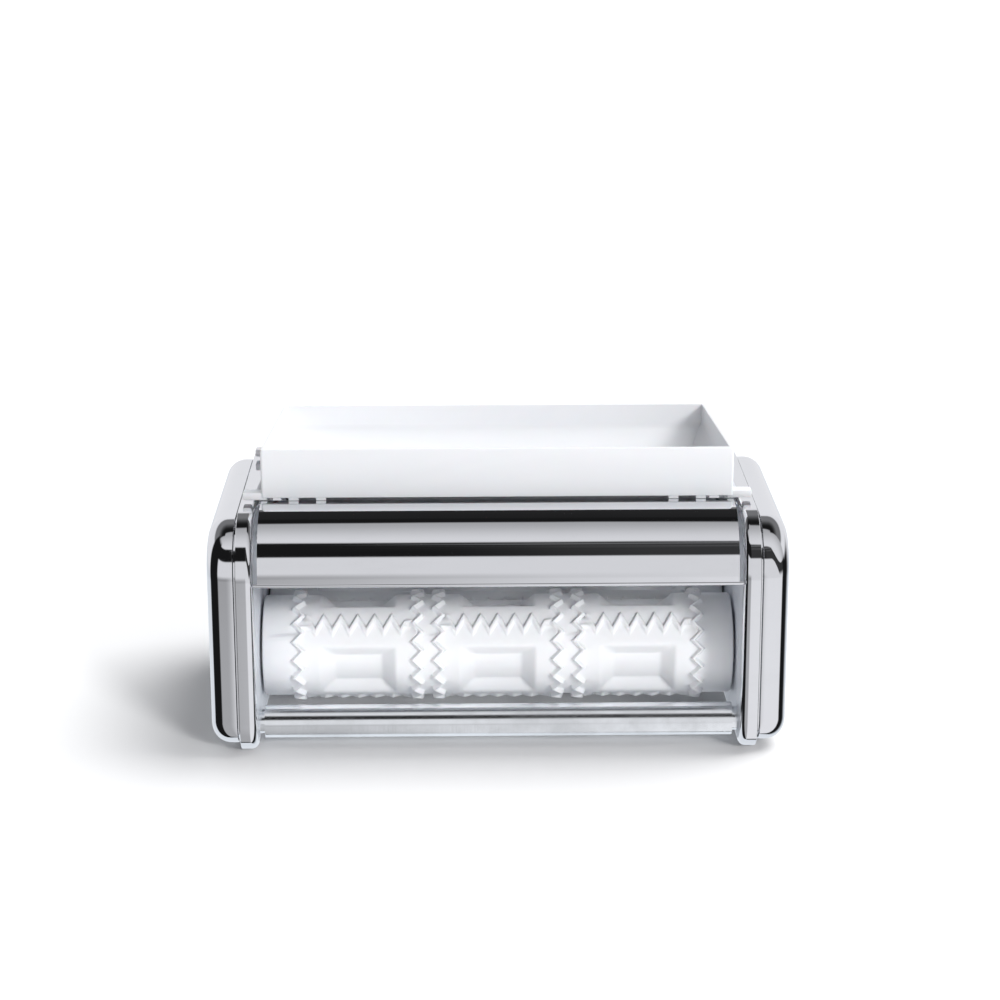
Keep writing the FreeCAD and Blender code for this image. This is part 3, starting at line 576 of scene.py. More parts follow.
def housing_loop(sizes, x, inset):
    """Side view of a housing at x, drawn in by inset: large bends on top, smaller ones at the feet."""
    reach = sizes.half_depth - inset
    top = sizes.plate_top - inset
    points = []
    for y, z, start, bend in ((-reach, inset, 180, sizes.foot_bend), (reach, inset, 270, sizes.foot_bend),
                              (reach, top, 0, sizes.top_bend), (-reach, top, 90, sizes.top_bend)):
        radius = max(bend - inset, LEAST_BEND)
        centre_y = y - math.copysign(radius, y)
        centre_z = z - radius if z == top else z + radius
        for step in range(BEND_STEPS + 1):
            angle = math.radians(start + 90 * step / BEND_STEPS)
            points.append((x, sizes.middle + centre_y + radius * math.cos(angle),
                           centre_z + radius * math.sin(angle)))
    return points


def add_housing(mesh, sizes, profile):
    """Runs a profile of (x, inset) points round a housing, and gives its loops of vertices."""
    return add_loops(mesh, [housing_loop(sizes, x, inset) for x, inset in profile])


def bent_edge(x, inset, radius, start, end):
    """Profile of a pressed edge about (x, inset), from one angle to another: 0 is drawn in most."""
    angles = [math.radians(start + (end - start) * step / EDGE_STEPS) for step in range(EDGE_STEPS + 1)]
    return [(x + radius * math.sin(angle), inset + radius * math.cos(angle)) for angle in angles]


def circle_loop(x, y, z, radius, count):
    """A circle round an axis along X."""
    turns = [2 * math.pi * step / count for step in range(count)]
    return [(x, y + radius * math.cos(turn), z + radius * math.sin(turn)) for turn in turns]


def fill_web(mesh, outline, holes, index=0):
    """Fills a flat face between an outline and the holes in it, in the material of that index."""
    edges = []
    for line in [outline] + holes:
        for a, b in zip(line, line[1:] + line[:1]):
            edges.append(mesh.edges.get((a, b)) or mesh.edges.new((a, b)))
    for made in bmesh.ops.triangle_fill(mesh, use_beauty=True, edges=edges)["geom"]:
        if isinstance(made, bmesh.types.BMFace):
            made.material_index = index


def plate_holes(sizes):
    """Middle and radius of each hole in a side plate, in the side view."""
    bushes = ("front_right_bush", "rear_right_bush")
    rods = ("front_tie_rod", "rear_tie_rod", "upper_front_tie_rod", "upper_rear_tie_rod")
    return ([middle_of(node) + (sizes.bush_hole,) for node in bushes]
            + [middle_of(node) + (sizes.screw_hole,) for node in rods])


def side_plate_mesh(sizes):
    """The right side plate: a web with its holes, and a rim pressed outward all round."""
    mesh = bmesh.new()
    wall, edge = sizes.plate_wall, sizes.plate_edge
    face = sizes.inner_width / 2
    rim = face + sizes.plate_rim
    profile = bent_edge(face + edge, edge, edge, 270, 180)
    profile += [(rim - BURR, 0), (rim, BURR), (rim, wall - BURR), (rim - BURR, wall)]
    profile += bent_edge(face + edge, edge, edge - wall, 180, 270)
    lines = add_housing(mesh, sizes, profile)
    holes = [add_loops(mesh, [circle_loop(x, y, z, radius, HOLE_STEPS) for x in (face, face + wall)])
             for y, z, radius in plate_holes(sizes)]
    fill_web(mesh, lines[0], [near for near, far in holes], 1)
    fill_web(mesh, lines[-1], [far for near, far in holes])
    return mesh


def side_cover_mesh(sizes, crank_hole):
    """The right side cover: a deep shell whose collar goes inside the plate's rim."""
    mesh = bmesh.new()
    wall, edge, inset, face = sizes.cover_wall, sizes.cover_edge, sizes.cover_inset, sizes.cover_face
    neck = inset + sizes.cover_neck
    rim = sizes.inner_width / 2 + sizes.plate_rim
    start = rim - sizes.cover_lap
    shoulder = rim + sizes.cover_groove
    turn = wall / 3
    profile = [(start, neck), (shoulder, neck), (shoulder, inset + turn),
               (shoulder + turn / 3, inset + turn / 3), (shoulder + turn, inset)]
    outside = add_housing(mesh, sizes, profile + bent_edge(face - edge, inset + edge, edge, 180, 90))
    profile = [(shoulder + wall, inset + wall), (shoulder + wall, neck + wall), (start, neck + wall)]
    inside = add_housing(mesh, sizes, bent_edge(face - edge, inset + edge, edge - wall, 90, 180) + profile)
    join_loops(mesh, inside[-1], outside[0])
    holes = [[], []]
    if crank_hole:
        y, z = middle_of("drive_shaft")
        rings = add_loops(mesh, [circle_loop(x, y, z, sizes.crank_hole, 2 * HOLE_STEPS)
                                 for x in (face, face - wall)])
        holes = [[ring] for ring in rings]
    fill_web(mesh, outside[-1], holes[0])
    fill_web(mesh, inside[0], holes[1])
    return mesh


def bent_sheet(y, z, heading, runs):
    """Points, each with its heading, along straight runs and bends in the side view. A run is a
    length, and a bend is a radius with the degrees that it turns down."""
    points = [(y, z, heading)]
    for run in runs:
        if isinstance(run, tuple):
            radius, turn = run
            centre = (y + radius * math.sin(math.radians(heading)),
                      z - radius * math.cos(math.radians(heading)))
            count = max(3, round(BEND_STEPS * turn / 60))
            for step in range(1, count + 1):
                now = math.radians(heading - turn * step / count)
                points.append((centre[0] - radius * math.sin(now), centre[1] + radius * math.cos(now),
                               heading - turn * step / count))
            heading -= turn
        else:
            y += run * math.cos(math.radians(heading))
            z += run * math.sin(math.radians(heading))
            points.append((y, z, heading))
        y, z = points[-1][0], points[-1][1]
    return points


def add_sheet(mesh, half, points, thickness):
    """A sheet run along X between -half and half, whose outer side follows the points."""
    corners = []
    for y, z, heading in points:
        angle = math.radians(heading)
        inner = (y + thickness * math.sin(angle), z - thickness * math.cos(angle))
        corners.append([[mesh.verts.new(Vector((x,) + place) * MM) for place in ((y, z), inner)]
                        for x in (-half, half)])
    for here, there in zip(corners, corners[1:]):
        (a, b), (c, d) = here
        (e, f), (g, h) = there
        for loop in ((a, e, g, c), (b, d, h, f), (a, b, f, e), (c, g, h, d)):
            mesh.faces.new(loop)
    for (a, b), (c, d) in (corners[0], corners[-1]):
        mesh.faces.new((a, b, d, c))


def add_bead(mesh, half, y, z, radius, soft):
    """A rolled bead along X with soft ends."""
    spots = ((-half, radius - soft), (-half + soft, radius), (half - soft, radius), (half, radius - soft))
    lines = add_loops(mesh, [circle_loop(x, y, z, r, HOLE_STEPS) for x, r in spots])
    mesh.faces.new(lines[0])
    mesh.faces.new(lines[-1])


def front_cover_mesh(sizes, plates):
    """The front cover: a beaded lip, the roll, and the chute that takes the dough in."""
    mesh = bmesh.new()
    bead, brow_bend = sizes.bead, sizes.brow_bend
    slope = math.radians(sizes.brow_slope)
    front = plates.middle - plates.half_depth + sizes.setback
    top = plates.plate_top + sizes.rise
    drop = sizes.apron + sizes.bend * math.cos(slope) + sizes.brow * math.sin(slope)
    lip = top - drop - brow_bend * (1 - math.cos(slope))
    roll = bent_sheet(front, lip, 90, [sizes.apron, (sizes.bend, 90 - sizes.brow_slope), sizes.brow,
                                       (brow_bend, sizes.brow_slope), sizes.level,
                                       (sizes.chute_bend, sizes.chute_slope)])
    wide = plates.inner_width / 2
    add_sheet(mesh, wide - sizes.end_gap, roll, sizes.thickness)
    add_sheet(mesh, wide, bent_sheet(*roll[-1], [sizes.chute]), sizes.thickness)
    add_bead(mesh, wide, front + bead - sizes.bead_proud, lip, bead, bead * BEAD_SOFT)
    return mesh


def rounded_plan(front, back, front_half, back_half, radius):
    """Corner points of a four sided plan, wider at the front than at the back, with round corners."""
    points = []
    for x, y, start in ((-front_half, front, 180), (front_half, front, 270), (back_half, back, 0),
                        (-back_half, back, 90)):
        cx = x - math.copysign(radius, x)
        cy = y + radius if y == front else y - radius
        for step in range(PLAN_STEPS + 1):
            angle = math.radians(start + 90 * step / PLAN_STEPS)
            points.append((cx + radius * math.cos(angle), cy + radius * math.sin(angle)))
    return points


def rim_ring(sizes, inset, z):
    """A ring of the hopper's upright rim, drawn in by inset."""
    radius = max(sizes.corner - inset, LEAST_CORNER)
    half = sizes.rim_front_half - inset
    plan = rounded_plan(sizes.rim_front + inset, sizes.rim_back - inset, half,
                        half - sizes.rim_taper, radius)
    return [(x, y, z) for x, y in plan]


def slot_ring(sizes, half_length, half_width, z):
    """A ring of the narrow throat."""
    middle = sizes.slot_middle
    plan = rounded_plan(middle - half_width, middle + half_width, half_length, half_length, half_width / 2)
    return [(x, y, z) for x, y in plan]


def add_box(mesh, corner, opposite, rounding):
    """A block between two opposite corners, with rounded edges."""
    low, high = [[pick(pair) for pair in zip(corner, opposite)] for pick in (min, max)]
    made = bmesh.ops.create_cube(mesh, size=1.0)["verts"]
    for vert in made:
        vert.co = Vector([a + (b - a) * (c + 0.5) for a, b, c in zip(low, high, vert.co)]) * MM
    edges = list({edge for vert in made for edge in vert.link_edges})
    bmesh.ops.bevel(mesh, geom=edges, offset=rounding * MM, offset_type="OFFSET", segments=2,
                    profile=0.5, affect="EDGES", clamp_overlap=True)


def add_prism(mesh, x0, x1, outline):
    """A side view outline of (y, z) points, run along X from x0 to x1."""
    ends = add_loops(mesh, [[(x, y, z) for y, z in outline] for x in (x0, x1)])
    mesh.faces.new(ends[0])
    mesh.faces.new(ends[1][::-1])


def hopper_rings(sizes):
    """The hopper's wall as rings, from the foot of the rim over its top, down the funnel's inside
    to the throat's foot, and back up outside."""
    wall, edge, apron, rim = sizes.wall, sizes.rounding, sizes.apron, sizes.rim_top
    shoulder, neck, foot = sizes.shoulder, sizes.neck, sizes.throat_foot
    length, width, tip = sizes.slot_length / 2, sizes.slot_width / 2, sizes.throat_width / 2
    soft = edge * (1 - math.sqrt(0.5))
    rings = [rim_ring(sizes, inset, z) for inset, z in (
        (soft, apron), (0, apron + soft), (0, rim - edge), (soft, rim - soft), (edge, rim),
        (wall - edge, rim), (wall - soft, rim - soft), (wall, rim - edge),
        (wall, shoulder + wall + INNER_BEND), (wall + INNER_BEND / 3, shoulder + wall),
        (wall + INNER_BEND, shoulder + wall - INNER_BEND))]
    rings += [slot_ring(sizes, half_length, half_width, z) for half_length, half_width, z in (
        (length + INNER_BEND, width + INNER_BEND, neck + INNER_BEND), (length, width, neck - INNER_BEND),
        (length, tip - wall, foot), (length + wall, tip, foot), (length + wall, width + wall, neck - wall))]
    rings += [rim_ring(sizes, inset, z) for inset, z in (
        (wall, shoulder - wall / 2), (wall, apron + soft), (wall - soft, apron))]
    return rings


def add_ribs(mesh, sizes):
    """Two ribs at each end of the rim's front and back, which stand on the covers."""
    deep, tall = sizes.rib_depth, sizes.rib_depth * FUNNEL_SLOPE
    seat, shoulder, half = sizes.seat, sizes.shoulder, sizes.rib_width / 2
    outer = sizes.rim_front_half - sizes.rib_inset
    for x in (outer - sizes.rib_step, outer):
        for side in (-1, 1):
            for y, inward in ((sizes.rim_front + SKIN, 1), (sizes.rim_back - SKIN, -1)):
                add_prism(mesh, side * x - half, side * x + half,
                          [(y, seat), (y + inward * deep, seat), (y + inward * deep, shoulder - tall),
                           (y + inward * RIB_TOP, shoulder), (y, shoulder)])


def add_lugs(mesh, sizes, side):
    """The lugs at one end that lie over the side plate."""
    front, back, long = sizes.rim_front, sizes.rim_back, sizes.lug_length
    for y in (front + sizes.lug_setback, back - sizes.lug_setback - long):
        inner = sizes.rim_front_half - sizes.rim_taper * (y + long - front) / (back - front) - sizes.wall
        add_box(mesh, (side * inner, y, sizes.seat),
                (side * sizes.lug_end, y + long, sizes.seat + sizes.lug_height), sizes.rounding)


def add_leg(mesh, sizes, side):
    """The leg at one end that hangs inside the side plate, and the bracket that holds it."""
    face, thick, width = sizes.leg_face, sizes.leg_thickness, sizes.leg_width / 2
    middle, apron, wall = sizes.slot_middle, sizes.apron, sizes.wall
    add_box(mesh, (side * (face - thick), middle - width, sizes.leg_foot),
            (side * face, middle + width, apron + wall), sizes.rounding)
    inner = sizes.rim_front_half - sizes.rim_taper - 2 * wall
    add_box(mesh, (side * inner, middle - width + SKIN, apron),
            (side * (face - thick / 2), middle + width - SKIN, apron + wall - SKIN), sizes.rounding)


def hopper_mesh(sizes):
    """The whole moulding: rim, funnel and throat, ribs, lugs and legs."""
    mesh = bmesh.new()
    add_loops(mesh, hopper_rings(sizes), closed=True)
    add_ribs(mesh, sizes)
    for side in (-1, 1):
        add_lugs(mesh, sizes, side)
        add_leg(mesh, sizes, side)
    smooth_outward(mesh)
    return mesh


# --- pieces --------------------------------------------------------------------------------

def link(context, thing):
    """Puts an object in the scene, and gives it back."""
    context.scene.collection.objects.link(thing)
    return thing


def coat(node, name):
    """Gives a CAD node the finish of that name."""
    for slot in NODES[node].material_slots:
        slot.material = finish(name)


def piece(context, name, mesh, material, body, node):
    """Makes a piece that stands for a CAD node and rides on its body."""
    data = bpy.data.meshes.new(name)
    mesh.to_mesh(data)
    mesh.free()
    data.materials.append(finish(material))
    made = link(context, bpy.data.objects.new(name, data))
    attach(made, body)
    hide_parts(node)
    return made


def pressed_piece(context, name, mesh, node, mirrored=None):
    """Makes a chromed piece of the frame, mirrored along an axis about the housings' middle."""
    if mirrored is not None:
        middle = Vector((0, context.scene.ravioli_housings.middle, 0))
        factors = [-1 if axis == mirrored else 1 for axis in "XYZ"]
        bmesh.ops.translate(mesh, vec=-middle, verts=mesh.verts)
        bmesh.ops.scale(mesh, vec=factors, verts=mesh.verts)
        bmesh.ops.translate(mesh, vec=middle, verts=mesh.verts)
    smooth_outward(mesh)
    made = piece(context, name, mesh, "chrome_plate", "frame", node)
    made.data.set_sharp_from_angle(angle=SHARP)
    smoother = made.modifiers.new("even_reflections", "WEIGHTED_NORMAL")
    smoother.keep_sharp = True
    smoother.weight = 100
    return made


# --- settings ------------------------------------------------------------------------------

def a_length(label, description, default):
    """A setting in metres."""
    return FloatProperty(name=label, description=description, unit="LENGTH", default=default)


def an_angle(label, description, degrees):
    """A setting in radians, with its default in degrees."""
    return FloatProperty(name=label, description=description, subtype="ANGLE",
                         default=math.radians(degrees))


def a_share(label, description, default):
    """A setting from nothing to full."""
    return FloatProperty(name=label, description=description, subtype="FACTOR", min=0.0, max=1.0,
                         default=default)


def a_power(label, description, default):
    """A setting for the strength of a light."""
    return FloatProperty(name=label, description=description, min=0.0, default=default)


def a_count(label, description, default):
    return IntProperty(name=label, description=description, min=1, default=default)


def a_colour(label, description, default):
    return FloatVectorProperty(name=label, description=description, subtype="COLOR", size=3, min=0.0,
                               max=1.0, default=default)


class FinishSettings(bpy.types.PropertyGroup):
    chrome_colour: a_colour("Chrome", "Tint of the chrome plating", (0.80, 0.805, 0.825))
    chrome_roughness: a_share("Chrome Roughness", "How soft the reflections in the chrome are", 0.035)
    satin_colour: a_colour("Satin Plating", "Tint of the inner faces of the side plates",
                           (0.84, 0.87, 0.92))
    steel_colour: a_colour("Steel", "Tint of the bare steel rods, shafts and gears", (0.86, 0.88, 0.90))
    steel_roughness: a_share("Steel Roughness", "How soft the reflections in the polished rods are", 0.14)
    zinc_colour: a_colour("Zinc", "Tint of the zinc plated hooks and screws", (0.76, 0.78, 0.80))
    nylon_colour: a_colour("Nylon", "Colour of the shaft bushes", (0.80, 0.78, 0.72))
    # Darker than the rollers' tint, though both are one white plastic: painted shade that tones down the
    # strong light on the hopper.
    hopper_colour: a_colour("Hopper", "Colour of the hopper", (0.81, 0.82, 0.84))
    # Brighter than the hopper's tint, though both are one white plastic: painted light that makes up for
    # the shade the rollers sit in between the covers.
    roller_colour: a_colour("Rollers", "Colour of the mould rollers", (0.955, 0.965, 0.985))
    hopper_roughness: a_share("Hopper Roughness", "How dull the hopper is", 0.30)
    roller_roughness: a_share("Roller Roughness", "How dull the mould rollers are", 0.34)


class HousingSettings(bpy.types.PropertyGroup):
    inner_width: a_length("Inner Width", "Between the two side plates", 0.17)
    half_depth: a_length("Half Depth", "Half the depth of a side plate", 0.058)
    middle: a_length("Middle", "Place of the middle of the side plates from front to back", -0.007)
    plate_top: a_length("Plate Top", "Height of the side plates", 0.085)
    top_bend: a_length("Top Bend", "Radius of the bends on top of a side plate", 0.0205)
    foot_bend: a_length("Foot Bend", "Radius of the bends at its feet", 0.012)
    plate_wall: a_length("Plate Thickness", "Thickness of a side plate", 0.0015)
    plate_rim: a_length("Plate Rim", "How far its pressed rim stands out", 0.006)
    plate_edge: a_length("Plate Edge", "Radius of its pressed edge", 0.0025)
    bush_hole: a_length("Bush Hole", "Radius of the hole for a bush", 0.00805)
    screw_hole: a_length("Screw Hole", "Radius of the hole for a screw", 0.00205)
    cover_face: a_length("Cover Face", "Place of the outer face of a side cover", 0.1015)
    cover_wall: a_length("Cover Thickness", "Thickness of a side cover", 0.0012)
    cover_edge: a_length("Cover Edge", "Radius of its outer edge", 0.007)
    cover_inset: a_length("Cover Inset", "How far it stands in from the outline of the plate", 0.0023)
    cover_lap: a_length("Cover Lap", "How far it goes inside the rim of the plate", 0.003)
    cover_groove: a_length("Groove", "Width of the groove between the rim and the cover", 0.0008)
    cover_neck: a_length("Neck", "How far the cover draws in to enter the rim", 0.0013)
    crank_hole: a_length("Crank Hole", "Radius of the hole for the crank", 0.008)


class CoverSettings(bpy.types.PropertyGroup):
    thickness: a_length("Thickness", "Thickness of the sheet", 0.001)
    rise: a_length("Rise", "Top of the cover over the top of the side plates", 0.0012)
    setback: a_length("Setback", "From the front of the side plates to the cover", 0.0007)
    end_gap: a_length("End Gap", "From each end of the roll to the side plate", 0.0016)
    apron: a_length("Apron", "Upright part from the bend down to the lip", 0.0022)
    bend: a_length("Bend", "Radius of the roll", 0.0205)
    brow: a_length("Brow", "Length of the straight brow over the roll", 0.0036)
    brow_bend: a_length("Brow Bend", "Radius from the brow to the level part", 0.005)
    level: a_length("Level", "Length of the level part", 0.0102)
    chute_bend: a_length("Chute Bend", "Radius from the level part to the chute", 0.008)
    chute: a_length("Chute", "Length of the chute", 0.013)
    bead: a_length("Bead", "Radius of the bead at the lip", 0.0008)
    bead_proud: a_length("Bead Proud", "How far the bead stands in front of the apron", 0.0003)
    brow_slope: an_angle("Brow Slope", "How steeply the brow rises", 25.5)
    chute_slope: an_angle("Chute Slope", "How steeply the chute falls", 50.0)


class HopperSettings(bpy.types.PropertyGroup):
    rim_front: a_length("Rim Front", "Place of the rim's front face", -0.037)
    rim_back: a_length("Rim Back", "Place of the rim's rear face", 0.028)
    rim_front_half: a_length("Half Rim", "Half the length of the rim's front face", 0.0834)
    rim_taper: a_length("Rim Taper", "How far each end draws in towards the back", 0.0041)
    corner: a_length("Corner", "Radius of the rim's upright corners", 0.0009)
    wall: a_length("Wall", "Thickness of the moulding", 0.0018)
    rounding: a_length("Rounding", "Radius of its edges", 0.0005)
    apron: a_length("Apron", "Height of the rim's lower edge", 0.0873)
    rim_top: a_length("Rim Top", "Height of the rim's upper edge", 0.1049)
    shoulder: a_length("Shoulder", "Height at which the funnel starts", 0.095)
    neck: a_length("Neck", "Height at which the throat starts", 0.071)
    throat_foot: a_length("Throat Foot", "Height of the throat's lower edge", 0.044)
    slot_middle: a_length("Slot Middle", "Place of the throat's middle", -0.007)
    slot_length: a_length("Slot Length", "Length of the throat inside", 0.128)
    slot_width: a_length("Slot Width", "Width of the throat inside", 0.0064)
    throat_width: a_length("Throat Width", "Width of the throat's foot outside", 0.0088)
    seat: a_length("Seat", "Height of the feet of the ribs", 0.0863)
    rib_width: a_length("Rib Width", "Width of a rib", 0.0035)
    rib_depth: a_length("Rib Depth", "Depth of a rib", 0.006)
    rib_inset: a_length("Rib Inset", "From an end of the rim to the outer rib", 0.0114)
    rib_step: a_length("Rib Step", "Between the two ribs at one end", 0.0097)
    lug_end: a_length("Lug End", "Place of the outer end of a lug", 0.09)
    lug_length: a_length("Lug Length", "Length of a lug along the side plate", 0.005)
    lug_setback: a_length("Lug Setback", "From the rim's face to a lug", 0.0004)
    lug_height: a_length("Lug Height", "Height of a lug", 0.0028)
    leg_face: a_length("Leg Face", "Place of the outer face of a leg", 0.0846)
    leg_width: a_length("Leg Width", "Width of a leg", 0.016)
    leg_thickness: a_length("Leg Thickness", "Thickness of a leg", 0.0024)
    leg_foot: a_length("Leg Foot", "Height of the foot of a leg", 0.064)


class RollerSettings(bpy.types.PropertyGroup):
    roller_length: a_length("Length", "Length of a mould roller", 0.168)
    mould_radius: a_length("Radius", "Radius of its smooth surface", 0.018)
    bore_radius: a_length("Bore", "Radius of the bore for its shaft", 0.00602)
    ridge_height: a_length("Ridge Height", "How far the crimping ridges stand up", 0.00185)
    cells_across: a_count("Cells Across", "Ravioli side by side", 3)
    cells_around: a_count("Cells Around", "Ravioli in one turn", 3)
    cell_width: a_length("Cell Width", "Between the two crimping rings of a cell", 0.0424)
    cell_gap: a_length("Cell Gap", "Between the near rings of two cells", 0.0076)
    cell_phase: an_angle("Cell Phase", "From the front up to a lengthwise ridge", 42.0)
    ring_teeth: a_count("Ring Teeth", "Teeth of a crimping ring", 18)
    ring_swing: a_length("Ring Swing", "Zigzag of a ring, peak to peak", 0.0033)
    cross_swing: a_length("Cross Swing", "Zigzag of a lengthwise ridge, peak to peak", 0.0053)
    pocket_depth: a_length("Pocket Depth", "Depth of the hollow that shapes a raviolo", 0.004)


class StageSettings(bpy.types.PropertyGroup):
    floor_size: a_length("Floor Size", "Length of each side of the floor", 12.0)
    floor_colour: a_colour("Floor", "Colour of the floor", (0.93, 0.93, 0.933))
    camera_distance: a_length("Camera Distance", "From the camera to the point it looks at", 0.879)
    camera_side: a_length("Aim Side", "Distance to the right of the point that the camera looks at",
                          0.0005)
    camera_height: a_length("Aim Height", "Height of the point that the camera looks at", 0.0942)
    camera_elevation: an_angle("Camera Elevation", "How far above the object's own level the camera is",
                               16.1)
    camera_azimuth: an_angle("Camera Azimuth", "How far the camera is turned round to the right", -0.8)
    camera_roll: an_angle("Camera Roll", "Tilt of the camera about its own line of sight", -0.12)
    camera_lens: FloatProperty(
        name="Lens", description="Focal length in millimetres on a 36 mm sensor", min=10.0, default=92.5)
    key_power: a_power("Key Light", "Strength of the soft light overhead", 2.6)
    front_power: a_power("Front Light", "Strength of the soft light in front", 1.6)
    rear_power: a_power("Rear Light", "Strength of the cool soft light behind", 0.9)
    room_light: a_power("Room Light", "Brightness of the room all round", 0.88)
    shade: a_share("Shade", "Brightness of the room's dark bands against its bright ones", 0.012)
    left_wall: a_share("Left Wall", "Brightness of the low part of the room in front on the left", 0.42)
    right_wall: a_share("Right Wall", "Brightness of the low part of the room in front on the right",
                        0.95)
    wall_top: an_angle("Wall Top", "How far up it is to the top of the bright wall in front", 26.6)
    ceiling_edge: an_angle("Ceiling Edge", "How far up it is to the front edge of the bright ceiling",
                           55.0)
    ceiling_end: an_angle("Ceiling End", "How far up it is to the rear edge of the bright ceiling", 80.0)
    back_wall_top: an_angle("Back Wall Top", "How far up it is to the top of the bright wall behind",
                            31.0)


# --- studio --------------------------------------------------------------------------------

def lay_floor(context, settings):
    """A wide pale floor, kept out of the part's reflections."""
    half = settings.floor_size / 2
    mesh = bpy.data.meshes.new("floor")
    mesh.from_pydata([(-half, -half, 0), (half, -half, 0), (half, half, 0), (-half, half, 0)], [],
                     [(0, 1, 2, 3)])
    floor = link(context, bpy.data.objects.new("floor", mesh))
    floor.visible_glossy = False
    material, g = new_material("floor_paper")
    mottle = g.noise(g.coordinates(), 9.0, 4.0, 0.6)
    colour = g.shades(mottle, settings.floor_colour, 1.0, 0.985)
    g.surface(Base_Color=colour, Roughness=0.75, Specular_IOR_Level=0.0)
    mesh.materials.append(material)


def rise(degrees):
    """Share of the way up at which a direction of that height points."""
    return math.sin(math.radians(degrees))


class Room:
    """The room round the part, as values of the world's shader."""

    def __init__(self, graph):
        self.graph = graph
        self.direction = graph.node("ShaderNodeTexCoord", output="Generated")
        across, self.along, self.height = [
            graph.node("ShaderNodeSeparateXYZ", None, (self.direction,), output=axis) for axis in "XYZ"]
        turn = graph.node("ShaderNodeMath", {"operation": "ARCTAN2"}, (across, -1.0 * self.along))
        self.turn = turn * (180 / math.pi)
        self.behind = graph.spread(self.along, -BLEND, BLEND)
        self.ceiling = graph.spread(self.along, *CEILING_RUN, *CEILING_LIGHT)

    def above(self, degrees, softness):
        return self.graph.spread(self.height, rise(degrees - softness), rise(degrees + softness))

    def over(self, edge, softness):
        """Whether a direction points over an edge that is itself a value."""
        return self.graph.spread(self.height, edge - softness, edge + softness)

    def front(self, settings):
        """A bright wall, a dark band over it that slants down to the right, and the ceiling."""
        g = self.graph
        streaks = g.spread(g.noise(g.stretched(self.direction, 1.4, 1.4, 22.0), 1.6, 2.0), 0.5, 0.66)
        glow = g.spread(self.height, *map(rise, STREAK_HEIGHTS)) * streaks
        glow = glow * g.spread(self.turn, *STREAK_TURNS) * STREAK_LIGHT
        glow = glow + g.spread(self.turn, *GLOW_TURNS) * GLOW_LIGHT
        foot = g.spread(self.turn, *BAND_FOOT_TURNS, rise(settings.wall_top), BAND_FOOT_END)
        top = g.spread(self.turn, *BAND_TOP_TURNS, rise(settings.ceiling_edge), BAND_TOP_END)
        over_wall = self.over(foot, BAND_FOOT_SOFTNESS)
        over_band = self.over(top, BAND_TOP_SOFTNESS)
        return (1.0 - over_wall) * WALL_LIGHT + over_band * self.ceiling + glow * (over_wall - over_band)

    def back(self, settings):
        """A bright wall under haze and darkness, up to the rear edge of the ceiling."""
        over_wall = self.above(settings.back_wall_top, BACK_WALL_SOFTNESS)
        haze = self.graph.spread(self.height, *map(rise, HAZE_HEIGHTS), 0.0, HAZE_LIGHT)
        lit = 1.0 - over_wall + self.above(settings.ceiling_end, CEILING_SOFTNESS) * self.ceiling
        return lit + haze * over_wall

    def low_wall(self, settings):
        """Brightness under the level of the part, with its own left and right part in front."""
        g = self.graph
        level = g.spread(self.turn, *LOW_WALL_TURNS, settings.left_wall, settings.right_wall)
        level = level * (1.0 - self.behind) + self.behind * settings.right_wall
        return level + g.spread(self.height, *map(rise, LOW_WALL_HEIGHTS), *LOW_WALL_SHADES)

    def gap(self, turns, top):
        """Brightness that a dark gap to one side leaves, up to the height of its top."""
        inside = self.graph.spread(self.turn, *turns[:2]) * (1.0 - self.graph.spread(self.turn, *turns[2:]))
        return 1.0 - inside * (1.0 - self.above(top, GAP_SOFTNESS))


def light_room(context, settings):
    """A pale room. In front it has a bright wall, a dark band over it and a bright ceiling that ends
    just behind the object, and low down it is dark to either side. Behind it is dark between that
    ceiling and a bright low wall. Seen straight, and not in a reflection, it is plain and pale."""
    world = bpy.data.worlds.new("studio")
    context.scene.world = world
    context.scene.view_settings.view_transform = "Standard"
    g = Graph(world)
    room = Room(g)
    low = 1.0 - room.above(LOW_WALL_TOP, LOW_WALL_SOFTNESS)
    upper = room.front(settings) * (1.0 - room.behind) + room.back(settings) * room.behind
    pattern = upper * (1.0 - low) + room.low_wall(settings) * low
    pattern = pattern * room.gap(LEFT_GAP, LEFT_GAP_TOP) * room.gap(RIGHT_GAP, RIGHT_GAP_TOP)
    light = (pattern * (1.0 - settings.shade) + settings.shade) * settings.room_light
    cool = room.behind * low
    red, green, blue = LIGHT_TINT
    colour = g.node("ShaderNodeCombineColor", None, (
        light * (red - cool * COOL_RED), light * (green - cool * COOL_GREEN), light * blue))
    colour = g.blend(g.node("ShaderNodeLightPath", output="Is Camera Ray"), colour, BACKDROP)
    background = g.node("ShaderNodeBackground", None, {"Color": colour, "Strength": 1.0})
    g.node("ShaderNodeOutputWorld", None, {"Surface": background})


def hang_light(context, name, place, softness, strength, colour=(1.0, 1.0, 1.0)):
    """A far soft light that shines from a place towards the part, kept out of its reflections."""
    light = bpy.data.lights.new(name, "SUN")
    light.angle = math.radians(softness)
    light.energy = strength
    light.color = colour
    lamp = link(context, bpy.data.objects.new(name, light))
    lamp.location = place
    aim = LAMP_AIM - lamp.location
    lamp.rotation_euler = aim.to_track_quat("-Z", "Y").to_euler()
    lamp.visible_glossy = False


